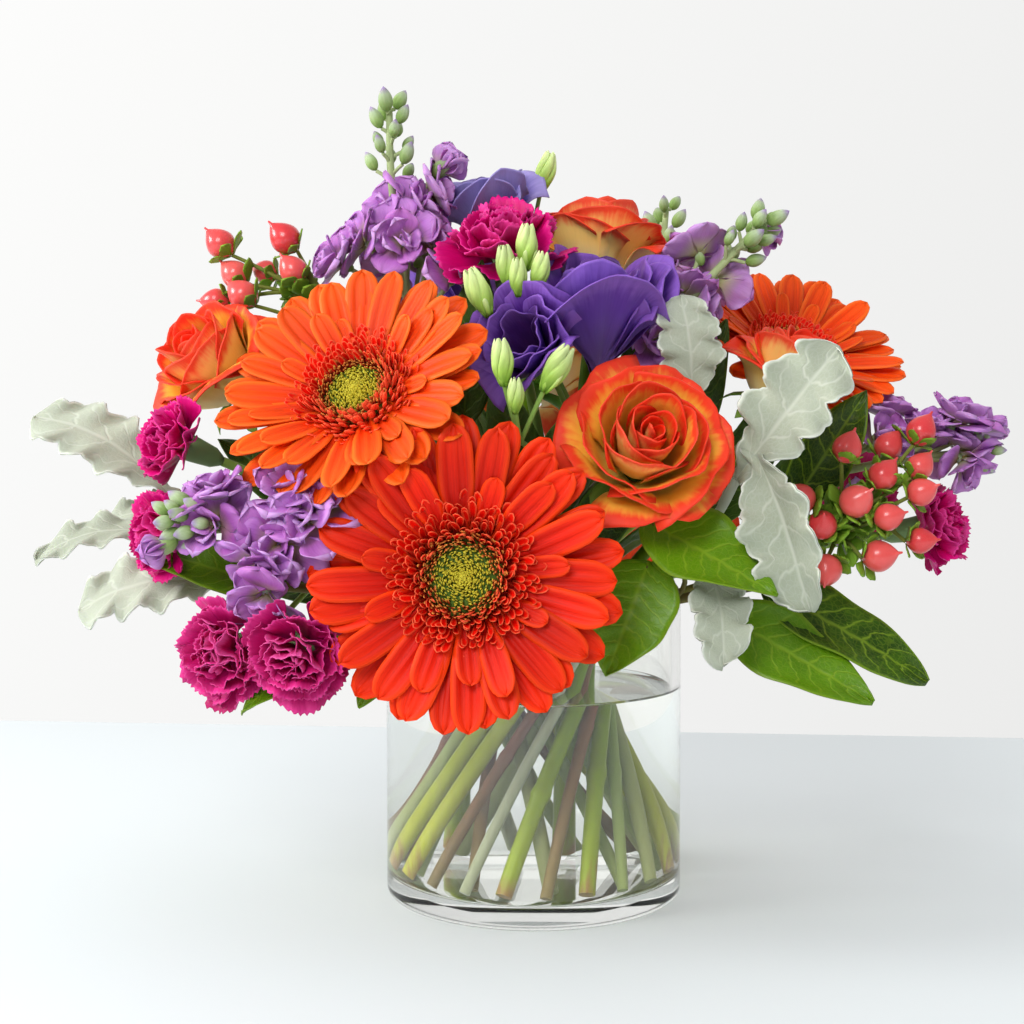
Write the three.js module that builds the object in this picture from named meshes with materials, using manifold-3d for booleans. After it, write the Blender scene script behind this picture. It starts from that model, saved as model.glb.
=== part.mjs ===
// A filled flower vase: a glass cylinder of water with a spiral hand-tied bouquet of gerberas,
// roses, lisianthus, stock, carnations, hypericum berries, dusty miller and lemon leaf.
// Millimetres, +Z up, front towards -Y, origin at the centre of the vase's underside.
import * as THREE from 'three';
import { mergeVertices } from 'three/addons/utils/BufferGeometryUtils.js';
import Module from 'manifold-3d';

const wasm = await Module();
wasm.setup();

// ---- Driving dimensions ----
const VASE_DIAMETER = 127;
const VASE_HEIGHT = 127;
const GLASS_WALL = 4;
const GLASS_BASE = 9;
const HEEL_RADIUS = 3;
const WATER_LEVEL = 88;
const GAP = 0.3; // clearance left between neighbouring pieces
const CUT = 0.45; // how much a piece is enlarged before its neighbours are cut back from it

const BINDING_HEIGHT = 92; // where the crossed stems are tightest
// The stems stand in two rings that lean opposite ways, like two crossed hand-tied spirals.
const OUTER_RING = { waist: 23.5, foot: 51, start: -203, turn: 1, places: 20 };
const INNER_RING = { waist: 10.5, foot: 43, start: -158, turn: -1, places: 9 };

const STEM = { gerbera: 6.4, rose: 6.2, stock: 5.6, lisianthus: 5, carnation: 4.4, hypericum: 4.4,
  foliage: 4.4, dusty: 4.2, branch: 2.6, twig: 2 };
const LEAF_THICKNESS = 1;
const ROUND_SIDES = 36; // facets round the vase

const COLOURS = { glass: 0xf4f8f6, water: 0xf2f7f6, gerbera: 0xf4481a, rose: 0xf0852a,
  lisianthus: 0x4a2fa0, lavender: 0x8f86c8, stock: 0x9b6cc8, carnation: 0xc9007f, berry: 0xe0454f,
  stem: 0x7e9a3b, leaf: 0x4e7a22, dusty: 0xc3cec5 };

const v = (x, y, z) => new THREE.Vector3(x, y, z);
const UP = v(0, 1, 0);

// ---- Materials ----
function finish(colour, roughness, extra = {}) {
  return new THREE.MeshStandardMaterial({ color: colour, roughness, metalness: 0, ...extra });
}

const MATERIALS = {
  glass: finish(COLOURS.glass, 0.05, { transparent: true, opacity: 0.3 }),
  water: finish(COLOURS.water, 0.02, { transparent: true, opacity: 0.2 }),
  gerbera: finish(COLOURS.gerbera, 0.6),
  rose: finish(COLOURS.rose, 0.6),
  lisianthus: finish(COLOURS.lisianthus, 0.65),
  lavender: finish(COLOURS.lavender, 0.65),
  stock: finish(COLOURS.stock, 0.7),
  carnation: finish(COLOURS.carnation, 0.7),
  berry: finish(COLOURS.berry, 0.3),
  stem: finish(COLOURS.stem, 0.55),
  leaf: finish(COLOURS.leaf, 0.45),
  dusty: finish(COLOURS.dusty, 0.9),
};

// ---- Solids ----
function toManifold(geometry) {
  geometry.deleteAttribute('normal');
  geometry.deleteAttribute('uv');
  const merged = mergeVertices(geometry, 1e-4);
  return new wasm.Manifold(new wasm.Mesh({
    numProp: 3,
    vertProperties: new Float32Array(merged.attributes.position.array),
    triVerts: new Uint32Array(merged.index.array),
  }));
}

function toGeometry(solid) {
  const mesh = solid.getMesh();
  const geometry = new THREE.BufferGeometry();
  geometry.setAttribute('position', new THREE.BufferAttribute(mesh.vertProperties, 3));
  geometry.setIndex(new THREE.BufferAttribute(mesh.triVerts, 1));
  geometry.computeVertexNormals();
  return geometry;
}

function join(solids) {
  return solids.reduce((whole, solid) => whole.add(solid));
}

// A many-sided section swept along a curve.
function tube(curve, diameter, steps, grow, sides = 6) {
  const radius = diameter / 2 + grow;
  const corners = Array.from({ length: sides }, (_, i) => {
    const angle = (i / sides) * Math.PI * 2;
    return new THREE.Vector2(radius * Math.cos(angle), radius * Math.sin(angle));
  });
  return toManifold(new THREE.ExtrudeGeometry(new THREE.Shape(corners), { steps, extrudePath: curve }));
}

// A turned shape about its own +Y: its underside from the axis outwards, then its top back in.
function turned(underside, top, grow, sides) {
  const widen = (r) => (r > 0 ? r + grow : 0);
  const lower = underside.map(([r, h]) => new THREE.Vector2(widen(r), h - grow));
  const upper = top.map(([r, h]) => new THREE.Vector2(widen(r), h + grow));
  return new THREE.LatheGeometry([...lower, ...upper], sides);
}

// Turns a shape's +Y towards where the flower faces and carries it to its place.
function facing(geometry, place, direction) {
  const turn = new THREE.Quaternion().setFromUnitVectors(UP, direction.clone().normalize());
  return toManifold(geometry.applyQuaternion(turn).translate(place.x, place.y, place.z));
}

// ---- Flower heads, each a plain closed shape of the flower's own outline ----
function gerberaHead(place, direction, diameter, grow) {
  const r = diameter / 2;
  const underside = [[0, -15], [6, -14.5], [11, -9], [14, -3], [r * 0.6, 0], [r, 4]];
  const top = [[r, 6.5], [r * 0.6, 4.5], [r * 0.3, 6.5], [0, 6]];
  return facing(turned(underside, top, grow, 16), place, direction);
}

function roseHead(place, direction, diameter, grow) {
  const r = diameter / 2;
  const underside = [[0, -0.9 * r], [0.22 * r, -0.88 * r], [0.62 * r, -0.55 * r], [0.92 * r, 0]];
  const top = [[r, 0.3 * r], [0.82 * r, 0.42 * r], [0.4 * r, 0.66 * r], [0, 0.66 * r]];
  return facing(turned(underside, top, grow, 12), place, direction);
}

function lisianthusHead(place, direction, diameter, grow) {
  const r = diameter / 2;
  const underside = [[0, -1.1 * r], [0.25 * r, -r], [0.6 * r, -0.5 * r], [r, 0.35 * r]];
  const top = [[r, 0.5 * r], [0.55 * r, 0.3 * r], [0, 0.2 * r]];
  return facing(turned(underside, top, grow, 10), place, direction);
}

function carnationHead(place, direction, diameter, grow) {
  const r = diameter / 2;
  const underside = [[0, -1.3 * r], [0.3 * r, -1.25 * r], [0.35 * r, -0.5 * r], [0.95 * r, -0.1 * r]];
  const top = [[r, 0.15 * r], [0.7 * r, 0.5 * r], [0, 0.65 * r]];
  return facing(turned(underside, top, grow, 10), place, direction);
}

// ---- Stems ----
// A stem runs straight from its foot on the glass floor to the crossing point, then bends to its head.
function stemCurve(ring, slot, diameter, end, direction) {
  const waistAngle = THREE.MathUtils.degToRad(ring.start + (360 / ring.places) * slot);
  const footAngle = waistAngle - ring.turn * Math.acos(ring.waist / ring.foot);
  const footHeight = GLASS_BASE + GAP + diameter * 0.35;
  const foot = v(ring.foot * Math.cos(footAngle), ring.foot * Math.sin(footAngle), footHeight);
  const waist = v(ring.waist * Math.cos(waistAngle), ring.waist * Math.sin(waistAngle), BINDING_HEIGHT);
  const along = waist.clone().sub(foot).normalize();
  const reach = 0.38 * waist.distanceTo(end);
  const lift = waist.clone().addScaledVector(along, reach);
  const neck = end.clone().addScaledVector(direction.clone().normalize(), -reach);
  const bend = new THREE.CubicBezierCurve3(waist, lift, neck, end);
  const middle = foot.clone().lerp(waist, 0.5);
  return new THREE.CatmullRomCurve3([foot, middle, ...bend.getPoints(6)]);
}

// A side branch leaves the stem part of the way up and swings out to its own end.
function branchCurve(stem, from, end) {
  const start = stem.getPoint(from);
  const lift = start.clone().addScaledVector(stem.getTangent(from), 0.45 * start.distanceTo(end));
  return new THREE.QuadraticBezierCurve3(start, lift, end);
}

const STEM_STEPS = 9;
const BRANCH_STEPS = 2;

function branch(stem, from, end, diameter, grow) {
  return tube(branchCurve(stem, from, end), diameter, BRANCH_STEPS, grow, 4);
}

// A short straight stalk under one berry or floret.
function stalk(stem, from, end, diameter, grow) {
  return tube(new THREE.LineCurve3(stem.getPoint(from), end), diameter, 1, grow, 4);
}

// ---- Leaves: thin plates cut to the leaf's outline and gently bent ----
function ovateOutline(length, width) {
  const shape = new THREE.Shape();
  shape.moveTo(0, 0);
  shape.bezierCurveTo(width * 0.75, length * 0.18, width * 0.5, length * 0.75, 0, length);
  shape.bezierCurveTo(-width * 0.5, length * 0.75, -width * 0.75, length * 0.18, 0, 0);
  return shape;
}

// The lobed outline of a dusty miller leaf: deep rounded notches along both edges.
function lobedOutline(length, width) {
  const lobes = 4;
  const steps = lobes * 2;
  const edge = (i) => {
    const t = i / steps;
    const notch = i % 2 === 0 ? 0.55 : 1;
    return [0.5 * width * Math.sin(Math.PI * Math.pow(t, 0.8)) * notch, length * t];
  };
  const shape = new THREE.Shape();
  shape.moveTo(0, 0);
  for (let i = 1; i < steps; i += 1) {
    shape.lineTo(...edge(i));
  }
  shape.lineTo(0, length);
  for (let i = steps - 1; i > 0; i -= 1) {
    const [x, y] = edge(i);
    shape.lineTo(-x, y);
  }
  return shape;
}

function leaf(outline, base, tip, normal, width, droop, grow) {
  const length = base.distanceTo(tip);
  const shape = outline(length + 2 * grow, width + 2 * grow);
  const depth = LEAF_THICKNESS + 2 * grow;
  const plate = new THREE.ExtrudeGeometry(shape, { depth, bevelEnabled: false, curveSegments: 4 });
  plate.translate(0, -grow, -depth / 2);
  const points = plate.attributes.position;
  for (let i = 0; i < points.count; i += 1) {
    const along = points.getY(i) / length;
    points.setZ(i, points.getZ(i) + 4 * droop * along * (1 - along));
  }
  const y = tip.clone().sub(base).normalize();
  const x = y.clone().cross(normal).normalize();
  const z = x.clone().cross(y);
  plate.applyMatrix4(new THREE.Matrix4().makeBasis(x, y, z));
  return toManifold(plate.translate(base.x, base.y, base.z));
}

// A closed lump: a berry, a bud or one ruffled floret.
function lump(place, radius, grow, stretch = 1, direction = v(0, 0, 1)) {
  const ball = new THREE.SphereGeometry(radius + grow, 6, 3);
  ball.scale(1, stretch, 1);
  return facing(ball, place, direction);
}

// ---- Assembly: every new piece is cut back from the enlarged shapes of those already in place ----
const bouquet = new THREE.Group();
const placed = [];

function boxesMeet(a, b) {
  return [0, 1, 2].every((k) => a.min[k] < b.max[k] && b.min[k] < a.max[k]);
}

function largestBody(solid) {
  return solid.decompose().sort((a, b) => b.volume() - a.volume())[0];
}

function add(name, material, build) {
  let solid = build(0);
  const box = solid.boundingBox();
  for (const neighbour of placed) {
    if (boxesMeet(box, neighbour.box)) {
      solid = solid.subtract(neighbour.keepOut);
    }
  }
  const keepOut = build(CUT);
  placed.push({ keepOut, box: keepOut.boundingBox() });
  const mesh = new THREE.Mesh(toGeometry(largestBody(solid)), MATERIALS[material]);
  mesh.name = name;
  bouquet.add(mesh);
}

// ---- Vase ----
function vaseProfile() {
  const outer = VASE_DIAMETER / 2;
  const inner = outer - GLASS_WALL;
  const arc = (cx, cy, r, from, to, pieces) => (
    new THREE.Path().absarc(cx, cy, r, from, to, to < from).getPoints(pieces));
  return [
    new THREE.Vector2(0, 0),
    ...arc(outer - HEEL_RADIUS, HEEL_RADIUS, HEEL_RADIUS, -Math.PI / 2, 0, 1),
    ...arc(outer - GLASS_WALL / 2, VASE_HEIGHT - GLASS_WALL / 2, GLASS_WALL / 2, 0, Math.PI, 2),
    ...arc(inner - HEEL_RADIUS, GLASS_BASE + HEEL_RADIUS, HEEL_RADIUS, 0, -Math.PI / 2, 1),
    new THREE.Vector2(0, GLASS_BASE),
  ];
}

function upright(geometry) {
  return toManifold(geometry.rotateX(Math.PI / 2));
}

add('vase', 'glass', (grow) => {
  const profile = vaseProfile();
  if (grow > 0) {
    const outer = VASE_DIAMETER / 2 + grow;
    const inner = VASE_DIAMETER / 2 - GLASS_WALL - grow;
    return upright(new THREE.LatheGeometry([
      new THREE.Vector2(0, -grow),
      new THREE.Vector2(outer, -grow),
      new THREE.Vector2(outer, VASE_HEIGHT + grow),
      new THREE.Vector2(inner, VASE_HEIGHT + grow),
      new THREE.Vector2(inner, GLASS_BASE + HEEL_RADIUS),
      new THREE.Vector2(inner - HEEL_RADIUS, GLASS_BASE + GAP),
      new THREE.Vector2(0, GLASS_BASE + GAP),
    ], ROUND_SIDES));
  }
  return upright(new THREE.LatheGeometry(profile, ROUND_SIDES));
});

// ---- Bouquet plan ----
// Blooms: where each head's middle is, the way it faces, its width, and its stem's place in a ring.
const BLOOMS = [
  { name: 'gerbera_front', kind: 'gerbera', at: v(-28, -96, 143), faces: v(-0.03, -1, 0.1), size: 113,
    ring: OUTER_RING, slot: 6 },
  { name: 'gerbera_left', kind: 'gerbera', at: v(-69, -66, 210), faces: v(-0.3, -0.8, 0.55), size: 106,
    ring: OUTER_RING, slot: 5 },
  { name: 'gerbera_right', kind: 'gerbera', at: v(116, 22, 232), faces: v(0.25, -0.6, 0.75), size: 100,
    ring: OUTER_RING, slot: 14 },
  { name: 'gerbera_back_right', kind: 'gerbera', at: v(56, 92, 172), faces: v(0.35, 1, 0.35), size: 100,
    ring: OUTER_RING, slot: 15 },
  { name: 'gerbera_back_left', kind: 'gerbera', at: v(-55, 82, 205), faces: v(-0.3, 0.8, 0.6), size: 104,
    ring: OUTER_RING, slot: 17 },
  { name: 'rose_front', kind: 'rose', at: v(42, -80, 192), faces: v(0.12, -0.9, 0.42), size: 64,
    ring: OUTER_RING, slot: 9 },
  { name: 'rose_left', kind: 'rose', at: v(-134, -26, 226), faces: v(-0.6, -0.55, 0.6), size: 56,
    ring: OUTER_RING, slot: 1 },
  { name: 'rose_right', kind: 'rose', at: v(107, -24, 222), faces: v(0.45, -0.35, 0.8), size: 54,
    ring: OUTER_RING, slot: 11 },
  { name: 'rose_top', kind: 'rose', at: v(29, 14, 280), faces: v(0.1, 0.1, 1), size: 56,
    ring: INNER_RING, slot: 4 },
  { name: 'rose_back', kind: 'rose', at: v(2, 96, 232), faces: v(0.1, 0.75, 0.65), size: 58,
    ring: OUTER_RING, slot: 16 },
];

// Sprays: one cut stem that branches to several small heads or buds.
const SPRAYS = [
  { name: 'carnation_left', stem: 'carnation', ring: OUTER_RING, slot: 2, kind: 'carnation',
    heads: [
      { at: v(-143, -55, 193), faces: v(-0.75, -0.5, 0.35), size: 34 },
      { at: v(-147, -60, 156), faces: v(-0.85, -0.5, -0.1), size: 34, from: 0.72 },
      { at: v(-117, -80, 112), faces: v(-0.5, -0.8, -0.15), size: 36, from: 0.62 },
      { at: v(-88, -94, 114), faces: v(-0.15, -0.95, -0.2), size: 36, from: 0.6 },
    ] },
  { name: 'carnation_top', stem: 'carnation', ring: INNER_RING, slot: 1, kind: 'carnation',
    heads: [{ at: v(-13, -30, 275), faces: v(-0.1, -0.5, 0.85), size: 46 }] },
  { name: 'carnation_right', stem: 'carnation', ring: OUTER_RING, slot: 12, kind: 'carnation',
    heads: [
      { at: v(172, -8, 158), faces: v(0.8, -0.5, 0.2), size: 38 },
      { at: v(150, 30, 168), faces: v(0.75, 0.6, 0.2), size: 38, from: 0.7 },
    ] },
  { name: 'carnation_back', stem: 'carnation', ring: OUTER_RING, slot: 19, kind: 'carnation',
    heads: [{ at: v(-112, 52, 176), faces: v(-0.8, 0.55, 0.25), size: 42 }] },
  { name: 'lisianthus_front', stem: 'lisianthus', ring: INNER_RING, slot: 2, kind: 'lisianthus',
    heads: [
      { at: v(27, -36, 244), faces: v(0.05, -0.35, 0.95), size: 46 },
      { at: v(-4, -58, 232), faces: v(-0.35, -0.85, 0.35), size: 38, from: 0.78 },
    ],
    buds: [
      { at: v(-7, -52, 264), from: 0.8 },
      { at: v(-15, -56, 250), from: 0.75 },
      { at: v(-11, -92, 213), from: 0.62 },
      { at: v(3, -92, 210), from: 0.62 },
    ] },
  { name: 'lisianthus_back', stem: 'lisianthus', ring: INNER_RING, slot: 7, kind: 'lisianthus',
    heads: [
      { at: v(-20, 4, 298), faces: v(-0.2, -0.3, 0.95), size: 38, petals: 'lavender' },
      { at: v(-34, 46, 262), faces: v(-0.35, 0.5, 0.8), size: 44, from: 0.75 },
    ],
    buds: [{ at: v(3, 10, 302), from: 0.85 }] },
];

const BUD_RADIUS = 4.5;
const BUD_STRETCH = 2;

// Stock: one thick stem whose upper part is crowded with ruffled florets.
const STOCK = [
  { name: 'stock_top_left', ring: INNER_RING, slot: 0, end: v(-61, -10, 332), faces: v(0.02, -0.02, 1),
    florets: [[-76, -12, 278], [-62, -10, 290], [-46, -10, 292], [-38, -16, 276], [-62, 6, 270],
      [-46, 10, 276]] },
  { name: 'stock_top_right', ring: INNER_RING, slot: 3, end: v(97, -10, 286), faces: v(0.7, 0, 0.7),
    florets: [[49, -12, 262], [62, -14, 260], [56, -14, 247], [71, -10, 248], [69, -6, 278], [80, -2, 262]] },
  { name: 'stock_left', ring: OUTER_RING, slot: 4, end: v(-134, -88, 163), faces: v(-0.9, -0.3, 0.1),
    florets: [[-121, -86, 175], [-120, -92, 162], [-92, -92, 176], [-86, -98, 164], [-102, -94, 144],
      [-102, -92, 132]] },
  { name: 'stock_right', ring: OUTER_RING, slot: 13, end: v(194, 0, 190), faces: v(0.9, 0, 0.1),
    florets: [[156, 2, 208], [171, -4, 201], [186, -2, 194], [192, 0, 204], [166, 8, 194]] },
  { name: 'stock_back', ring: INNER_RING, slot: 5, end: v(64, 66, 304), faces: v(0.1, 0.15, 1),
    florets: [[54, 54, 254], [74, 60, 256], [58, 72, 266], [66, 66, 280]] },
];
const FLORET_RADIUS = 11;

// Hypericum: a twig forking to glossy berries.
const HYPERICUM = [
  { name: 'hypericum_left', ring: INNER_RING, slot: 8, end: v(-107, 0, 281), faces: v(-0.5, 0, 0.8),
    berries: [[-135, 0, 279], [-129, 0, 266], [-138, 0, 254], [-103, -6, 267], [-118, 8, 268], [-124, -8, 256]] },
  { name: 'hypericum_right', ring: OUTER_RING, slot: 10, end: v(141, -41, 180), faces: v(0.5, -0.3, 0.8),
    berries: [[125, -46, 191], [157, -38, 184], [128, -48, 169], [142, -48, 163], [156, -44, 173],
      [158, -34, 198], [106, -44, 170], [102, -48, 159], [115, -46, 160], [157, -42, 153], [138, -46, 147],
      [146, -30, 192], [117, -44, 141]] },
  { name: 'hypericum_back', ring: INNER_RING, slot: 6, end: v(-6, 118, 178), faces: v(-0.1, 0.9, 0.3),
    berries: [[-16, 120, 172], [4, 116, 176], [-6, 124, 186], [-22, 112, 186], [10, 108, 164], [-6, 116, 160]] },
];
const BERRY_RADIUS = 6;

// Leaf sprays: a stem with leaves, each given by where it leaves the stem, its base, tip and width.
const LEAF_SPRAYS = [
  { name: 'dusty_miller_left', kind: 'dusty', ring: OUTER_RING, slot: 0, end: v(-160, -20, 172),
    faces: v(-0.9, -0.05, 0.4), leaves: [
      { base: v(-160, -20, 172), tip: v(-206, -20, 206), normal: v(0.3, -0.8, 0.5), width: 40, from: 1 },
      { base: v(-152, -26, 152), tip: v(-202, -32, 149), normal: v(0, -0.5, 0.9), width: 26, from: 0.85 },
      { base: v(-119, -46, 132), tip: v(-176, -52, 130), normal: v(0, -0.5, 0.9), width: 38, from: 0.7 },
    ] },
  { name: 'dusty_miller_right', kind: 'dusty', ring: OUTER_RING, slot: 8, end: v(78, -60, 178),
    faces: v(0.3, -0.3, 0.9), leaves: [
      { base: v(78, -60, 178), tip: v(108, -78, 224), normal: v(-0.3, -0.9, 0.2), width: 42, from: 1 },
      { base: v(80, -66, 184), tip: v(92, -84, 136), normal: v(-0.5, -0.8, 0), width: 34, from: 0.95 },
      { base: v(62, -44, 205), tip: v(58, -52, 246), normal: v(0, -0.9, 0.3), width: 34, from: 0.9 },
      { base: v(60, -56, 142), tip: v(62, -80, 116), normal: v(0, -0.9, 0.3), width: 26, from: 0.75 },
    ] },
  { name: 'foliage_right', kind: 'leaf', ring: OUTER_RING, slot: 7, end: v(96, -44, 136),
    faces: v(0.9, -0.3, 0.2), leaves: [
      { base: v(40, -66, 158), tip: v(84, -90, 138), normal: v(0.2, -0.6, 0.75), width: 34, from: 0.74 },
      { base: v(42, -62, 140), tip: v(26, -80, 103), normal: v(-0.1, -0.9, 0.3), width: 34, from: 0.72 },
      { base: v(94, -46, 132), tip: v(152, -54, 104), normal: v(0, -0.8, 0.6), width: 32, from: 0.95 },
      { base: v(78, -50, 122), tip: v(124, -66, 97), normal: v(0, -0.6, 0.8), width: 24, from: 0.85 },
      { base: v(108, -16, 166), tip: v(136, -30, 212), normal: v(0.1, -0.9, 0.2), width: 38, from: 0.9 },
    ] },
  { name: 'foliage_left', kind: 'leaf', ring: OUTER_RING, slot: 3, end: v(-104, -58, 136),
    faces: v(-0.8, -0.5, 0.1), leaves: [
      { base: v(-104, -58, 136), tip: v(-150, -62, 148), normal: v(0, -0.7, 0.7), width: 30, from: 1 },
      { base: v(-74, -62, 122), tip: v(-104, -88, 96), normal: v(-0.2, -0.7, 0.7), width: 26, from: 0.85 },
      { base: v(-48, -66, 124), tip: v(-64, -86, 96), normal: v(0, -0.9, 0.4), width: 30, from: 0.75 },
    ] },
  { name: 'foliage_back', kind: 'leaf', ring: OUTER_RING, slot: 18, end: v(-84, 74, 150),
    faces: v(-0.6, 0.7, 0.3), leaves: [
      { base: v(-84, 74, 150), tip: v(-128, 96, 132), normal: v(-0.3, 0.5, 0.8), width: 38, from: 1 },
      { base: v(-70, 74, 140), tip: v(-92, 108, 104), normal: v(-0.3, 0.8, 0.5), width: 36, from: 0.9 },
      { base: v(-40, 70, 138), tip: v(-34, 104, 108), normal: v(0, 0.8, 0.5), width: 38, from: 0.8 },
      { base: v(4, 66, 142), tip: v(16, 110, 124), normal: v(0, 0.7, 0.7), width: 38, from: 0.75 },
      { base: v(-100, 40, 150), tip: v(-150, 40, 132), normal: v(-0.3, 0.1, 0.9), width: 38, from: 0.85 },
    ] },
];

// ---- Cut stems, then their heads ----
const HEAD_SHAPES = {
  gerbera: { make: gerberaHead, depth: () => 15 },
  rose: { make: roseHead, depth: (size) => 0.45 * size },
  lisianthus: { make: lisianthusHead, depth: (size) => 0.55 * size },
  carnation: { make: carnationHead, depth: (size) => 0.65 * size },
};

// The point behind a head where its stem ends, one gap short of the head's own base.
function neckOf(kind, head) {
  const back = HEAD_SHAPES[kind].depth(head.size) + GAP;
  return head.at.clone().addScaledVector(head.faces.clone().normalize(), -back);
}

for (const bloom of BLOOMS) {
  const diameter = STEM[bloom.kind];
  const curve = stemCurve(bloom.ring, bloom.slot, diameter, neckOf(bloom.kind, bloom), bloom.faces);
  add(`${bloom.name}_stem`, 'stem', (grow) => tube(curve, diameter, STEM_STEPS, grow));
}

for (const spray of SPRAYS) {
  const [first, ...others] = spray.heads;
  const diameter = STEM[spray.stem];
  const curve = stemCurve(spray.ring, spray.slot, diameter, neckOf(spray.kind, first), first.faces);
  const buds = spray.buds ?? [];
  add(`${spray.name}_stem`, 'stem', (grow) => join([
    tube(curve, diameter, STEM_STEPS, grow),
    ...others.map((head) => branch(curve, head.from, neckOf(spray.kind, head), STEM.branch, grow)),
    ...buds.map((bud) => branch(curve, bud.from, bud.at, STEM.branch, grow)),
    ...buds.map((bud) => lump(bud.at, BUD_RADIUS, grow, BUD_STRETCH)),
  ]));
}

for (const bloom of BLOOMS) {
  const { make } = HEAD_SHAPES[bloom.kind];
  add(`${bloom.name}_head`, bloom.kind, (grow) => make(bloom.at, bloom.faces, bloom.size, grow));
}

for (const spray of SPRAYS) {
  const { make } = HEAD_SHAPES[spray.kind];
  spray.heads.forEach((head, index) => {
    const petals = head.petals ?? spray.kind;
    add(`${spray.name}_head_${index + 1}`, petals, (grow) => make(head.at, head.faces, head.size, grow));
  });
}

for (const spike of STOCK) {
  const curve = stemCurve(spike.ring, spike.slot, STEM.stock, spike.end, spike.faces);
  const florets = spike.florets.map((place) => v(...place));
  add(spike.name, 'stock', (grow) => join([
    tube(curve, STEM.stock, STEM_STEPS, grow),
    ...florets.map((place) => stalk(curve, 0.85, place, STEM.branch, grow)),
    ...florets.map((place) => lump(place, FLORET_RADIUS, grow)),
  ]));
}

for (const twig of HYPERICUM) {
  const curve = stemCurve(twig.ring, twig.slot, STEM.hypericum, twig.end, twig.faces);
  const berries = twig.berries.map((place) => v(...place));
  add(twig.name, 'berry', (grow) => join([
    tube(curve, STEM.hypericum, STEM_STEPS, grow),
    ...berries.map((place) => stalk(curve, 0.85, place, STEM.twig, grow)),
    ...berries.map((place) => lump(place, BERRY_RADIUS, grow)),
  ]));
}

for (const spray of LEAF_SPRAYS) {
  const diameter = spray.kind === 'dusty' ? STEM.dusty : STEM.foliage;
  const outline = spray.kind === 'dusty' ? lobedOutline : ovateOutline;
  const curve = stemCurve(spray.ring, spray.slot, diameter, spray.end, spray.faces);
  add(spray.name, spray.kind, (grow) => join([
    tube(curve, diameter, STEM_STEPS, grow),
    ...spray.leaves.filter((blade) => blade.from < 1).map((blade) => {
      const inside = blade.base.clone().lerp(blade.tip, 0.12);
      return branch(curve, blade.from, inside, STEM.branch, grow);
    }),
    ...spray.leaves.map((blade) => (
      leaf(outline, blade.base, blade.tip, blade.normal, blade.width, 4, grow))),
  ]));
}

// ---- Water round the stems ----
const waterRadius = VASE_DIAMETER / 2 - GLASS_WALL - GAP;
add('water', 'water', (grow) => upright(new THREE.LatheGeometry([
  new THREE.Vector2(0, GLASS_BASE + GAP - grow),
  new THREE.Vector2(waterRadius - HEEL_RADIUS, GLASS_BASE + GAP - grow),
  new THREE.Vector2(waterRadius + grow, GLASS_BASE + HEEL_RADIUS),
  new THREE.Vector2(waterRadius + grow, WATER_LEVEL + grow),
  new THREE.Vector2(0, WATER_LEVEL + grow),
], ROUND_SIDES)));

export default bouquet;
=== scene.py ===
import math

import bpy
import numpy as np
from mathutils import Matrix, Vector


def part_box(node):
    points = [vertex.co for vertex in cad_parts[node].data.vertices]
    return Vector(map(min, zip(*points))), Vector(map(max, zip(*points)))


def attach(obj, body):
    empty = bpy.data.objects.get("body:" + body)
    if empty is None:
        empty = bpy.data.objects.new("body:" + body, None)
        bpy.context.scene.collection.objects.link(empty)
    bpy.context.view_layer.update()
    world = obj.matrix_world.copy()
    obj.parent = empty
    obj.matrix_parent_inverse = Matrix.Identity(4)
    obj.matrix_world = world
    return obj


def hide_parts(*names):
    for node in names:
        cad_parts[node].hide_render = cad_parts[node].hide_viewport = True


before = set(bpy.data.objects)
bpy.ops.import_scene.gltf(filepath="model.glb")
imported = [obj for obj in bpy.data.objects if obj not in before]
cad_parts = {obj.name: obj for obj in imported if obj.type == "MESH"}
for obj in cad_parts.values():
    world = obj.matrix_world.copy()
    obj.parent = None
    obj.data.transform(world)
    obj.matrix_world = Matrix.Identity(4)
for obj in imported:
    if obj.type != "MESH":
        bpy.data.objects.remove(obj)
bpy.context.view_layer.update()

MM = 0.001

# --- Vase ---------------------------------------------------------------------------------------
# A straight-sided cylinder of clear soda-lime glass with a thick pressed base, a small rounded
# heel and a fire-polished rim. It stands free and carries everything else.


def linear(code):
    """An sRGB hex colour as the linear values that a shader takes."""
    channels = [int(code[i:i + 2], 16) / 255 for i in (0, 2, 4)]
    curve = [c / 12.92 if c <= 0.04045 else ((c + 0.055) / 1.055) ** 2.4 for c in channels]
    return (*curve, 1.0)


def add(tree, kind, links=None, **settings):
    """Adds a node, sets it, fills or links its sockets, and returns its first output in use."""
    made = tree.nodes.new(kind)
    for name, value in settings.items():
        setattr(made, name, value)
    for key, value in (links or {}).items():
        if isinstance(key, int):
            socket = made.inputs[key]
        else:
            socket = next(s for s in made.inputs if s.enabled and s.name == key)
        if isinstance(value, bpy.types.NodeSocket):
            tree.links.new(value, socket)
        else:
            socket.default_value = value
    return next((s for s in made.outputs if s.enabled), None)


def new_material(name):
    """An empty material and its node tree."""
    material = bpy.data.materials.new(name)
    material.use_nodes = True
    material.node_tree.nodes.clear()
    return material, material.node_tree


def mesh_object(name, points, faces, material, uvs=None):
    """A smooth-shaded mesh object at the origin, with one UV per point where they are given."""
    mesh = bpy.data.meshes.new(name)
    mesh.from_pydata([tuple(p) for p in points], [], faces)
    mesh.shade_smooth()
    if uvs is not None:
        layer = mesh.uv_layers.new(name="UVMap")
        corners = np.empty(len(mesh.loops), np.int32)
        mesh.loops.foreach_get("vertex_index", corners)
        layer.uv.foreach_set("vector", np.asarray(uvs, np.float32)[corners].ravel())
    mesh.materials.append(material)
    made = bpy.data.objects.new(name, mesh)
    bpy.context.scene.collection.objects.link(made)
    return made


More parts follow.
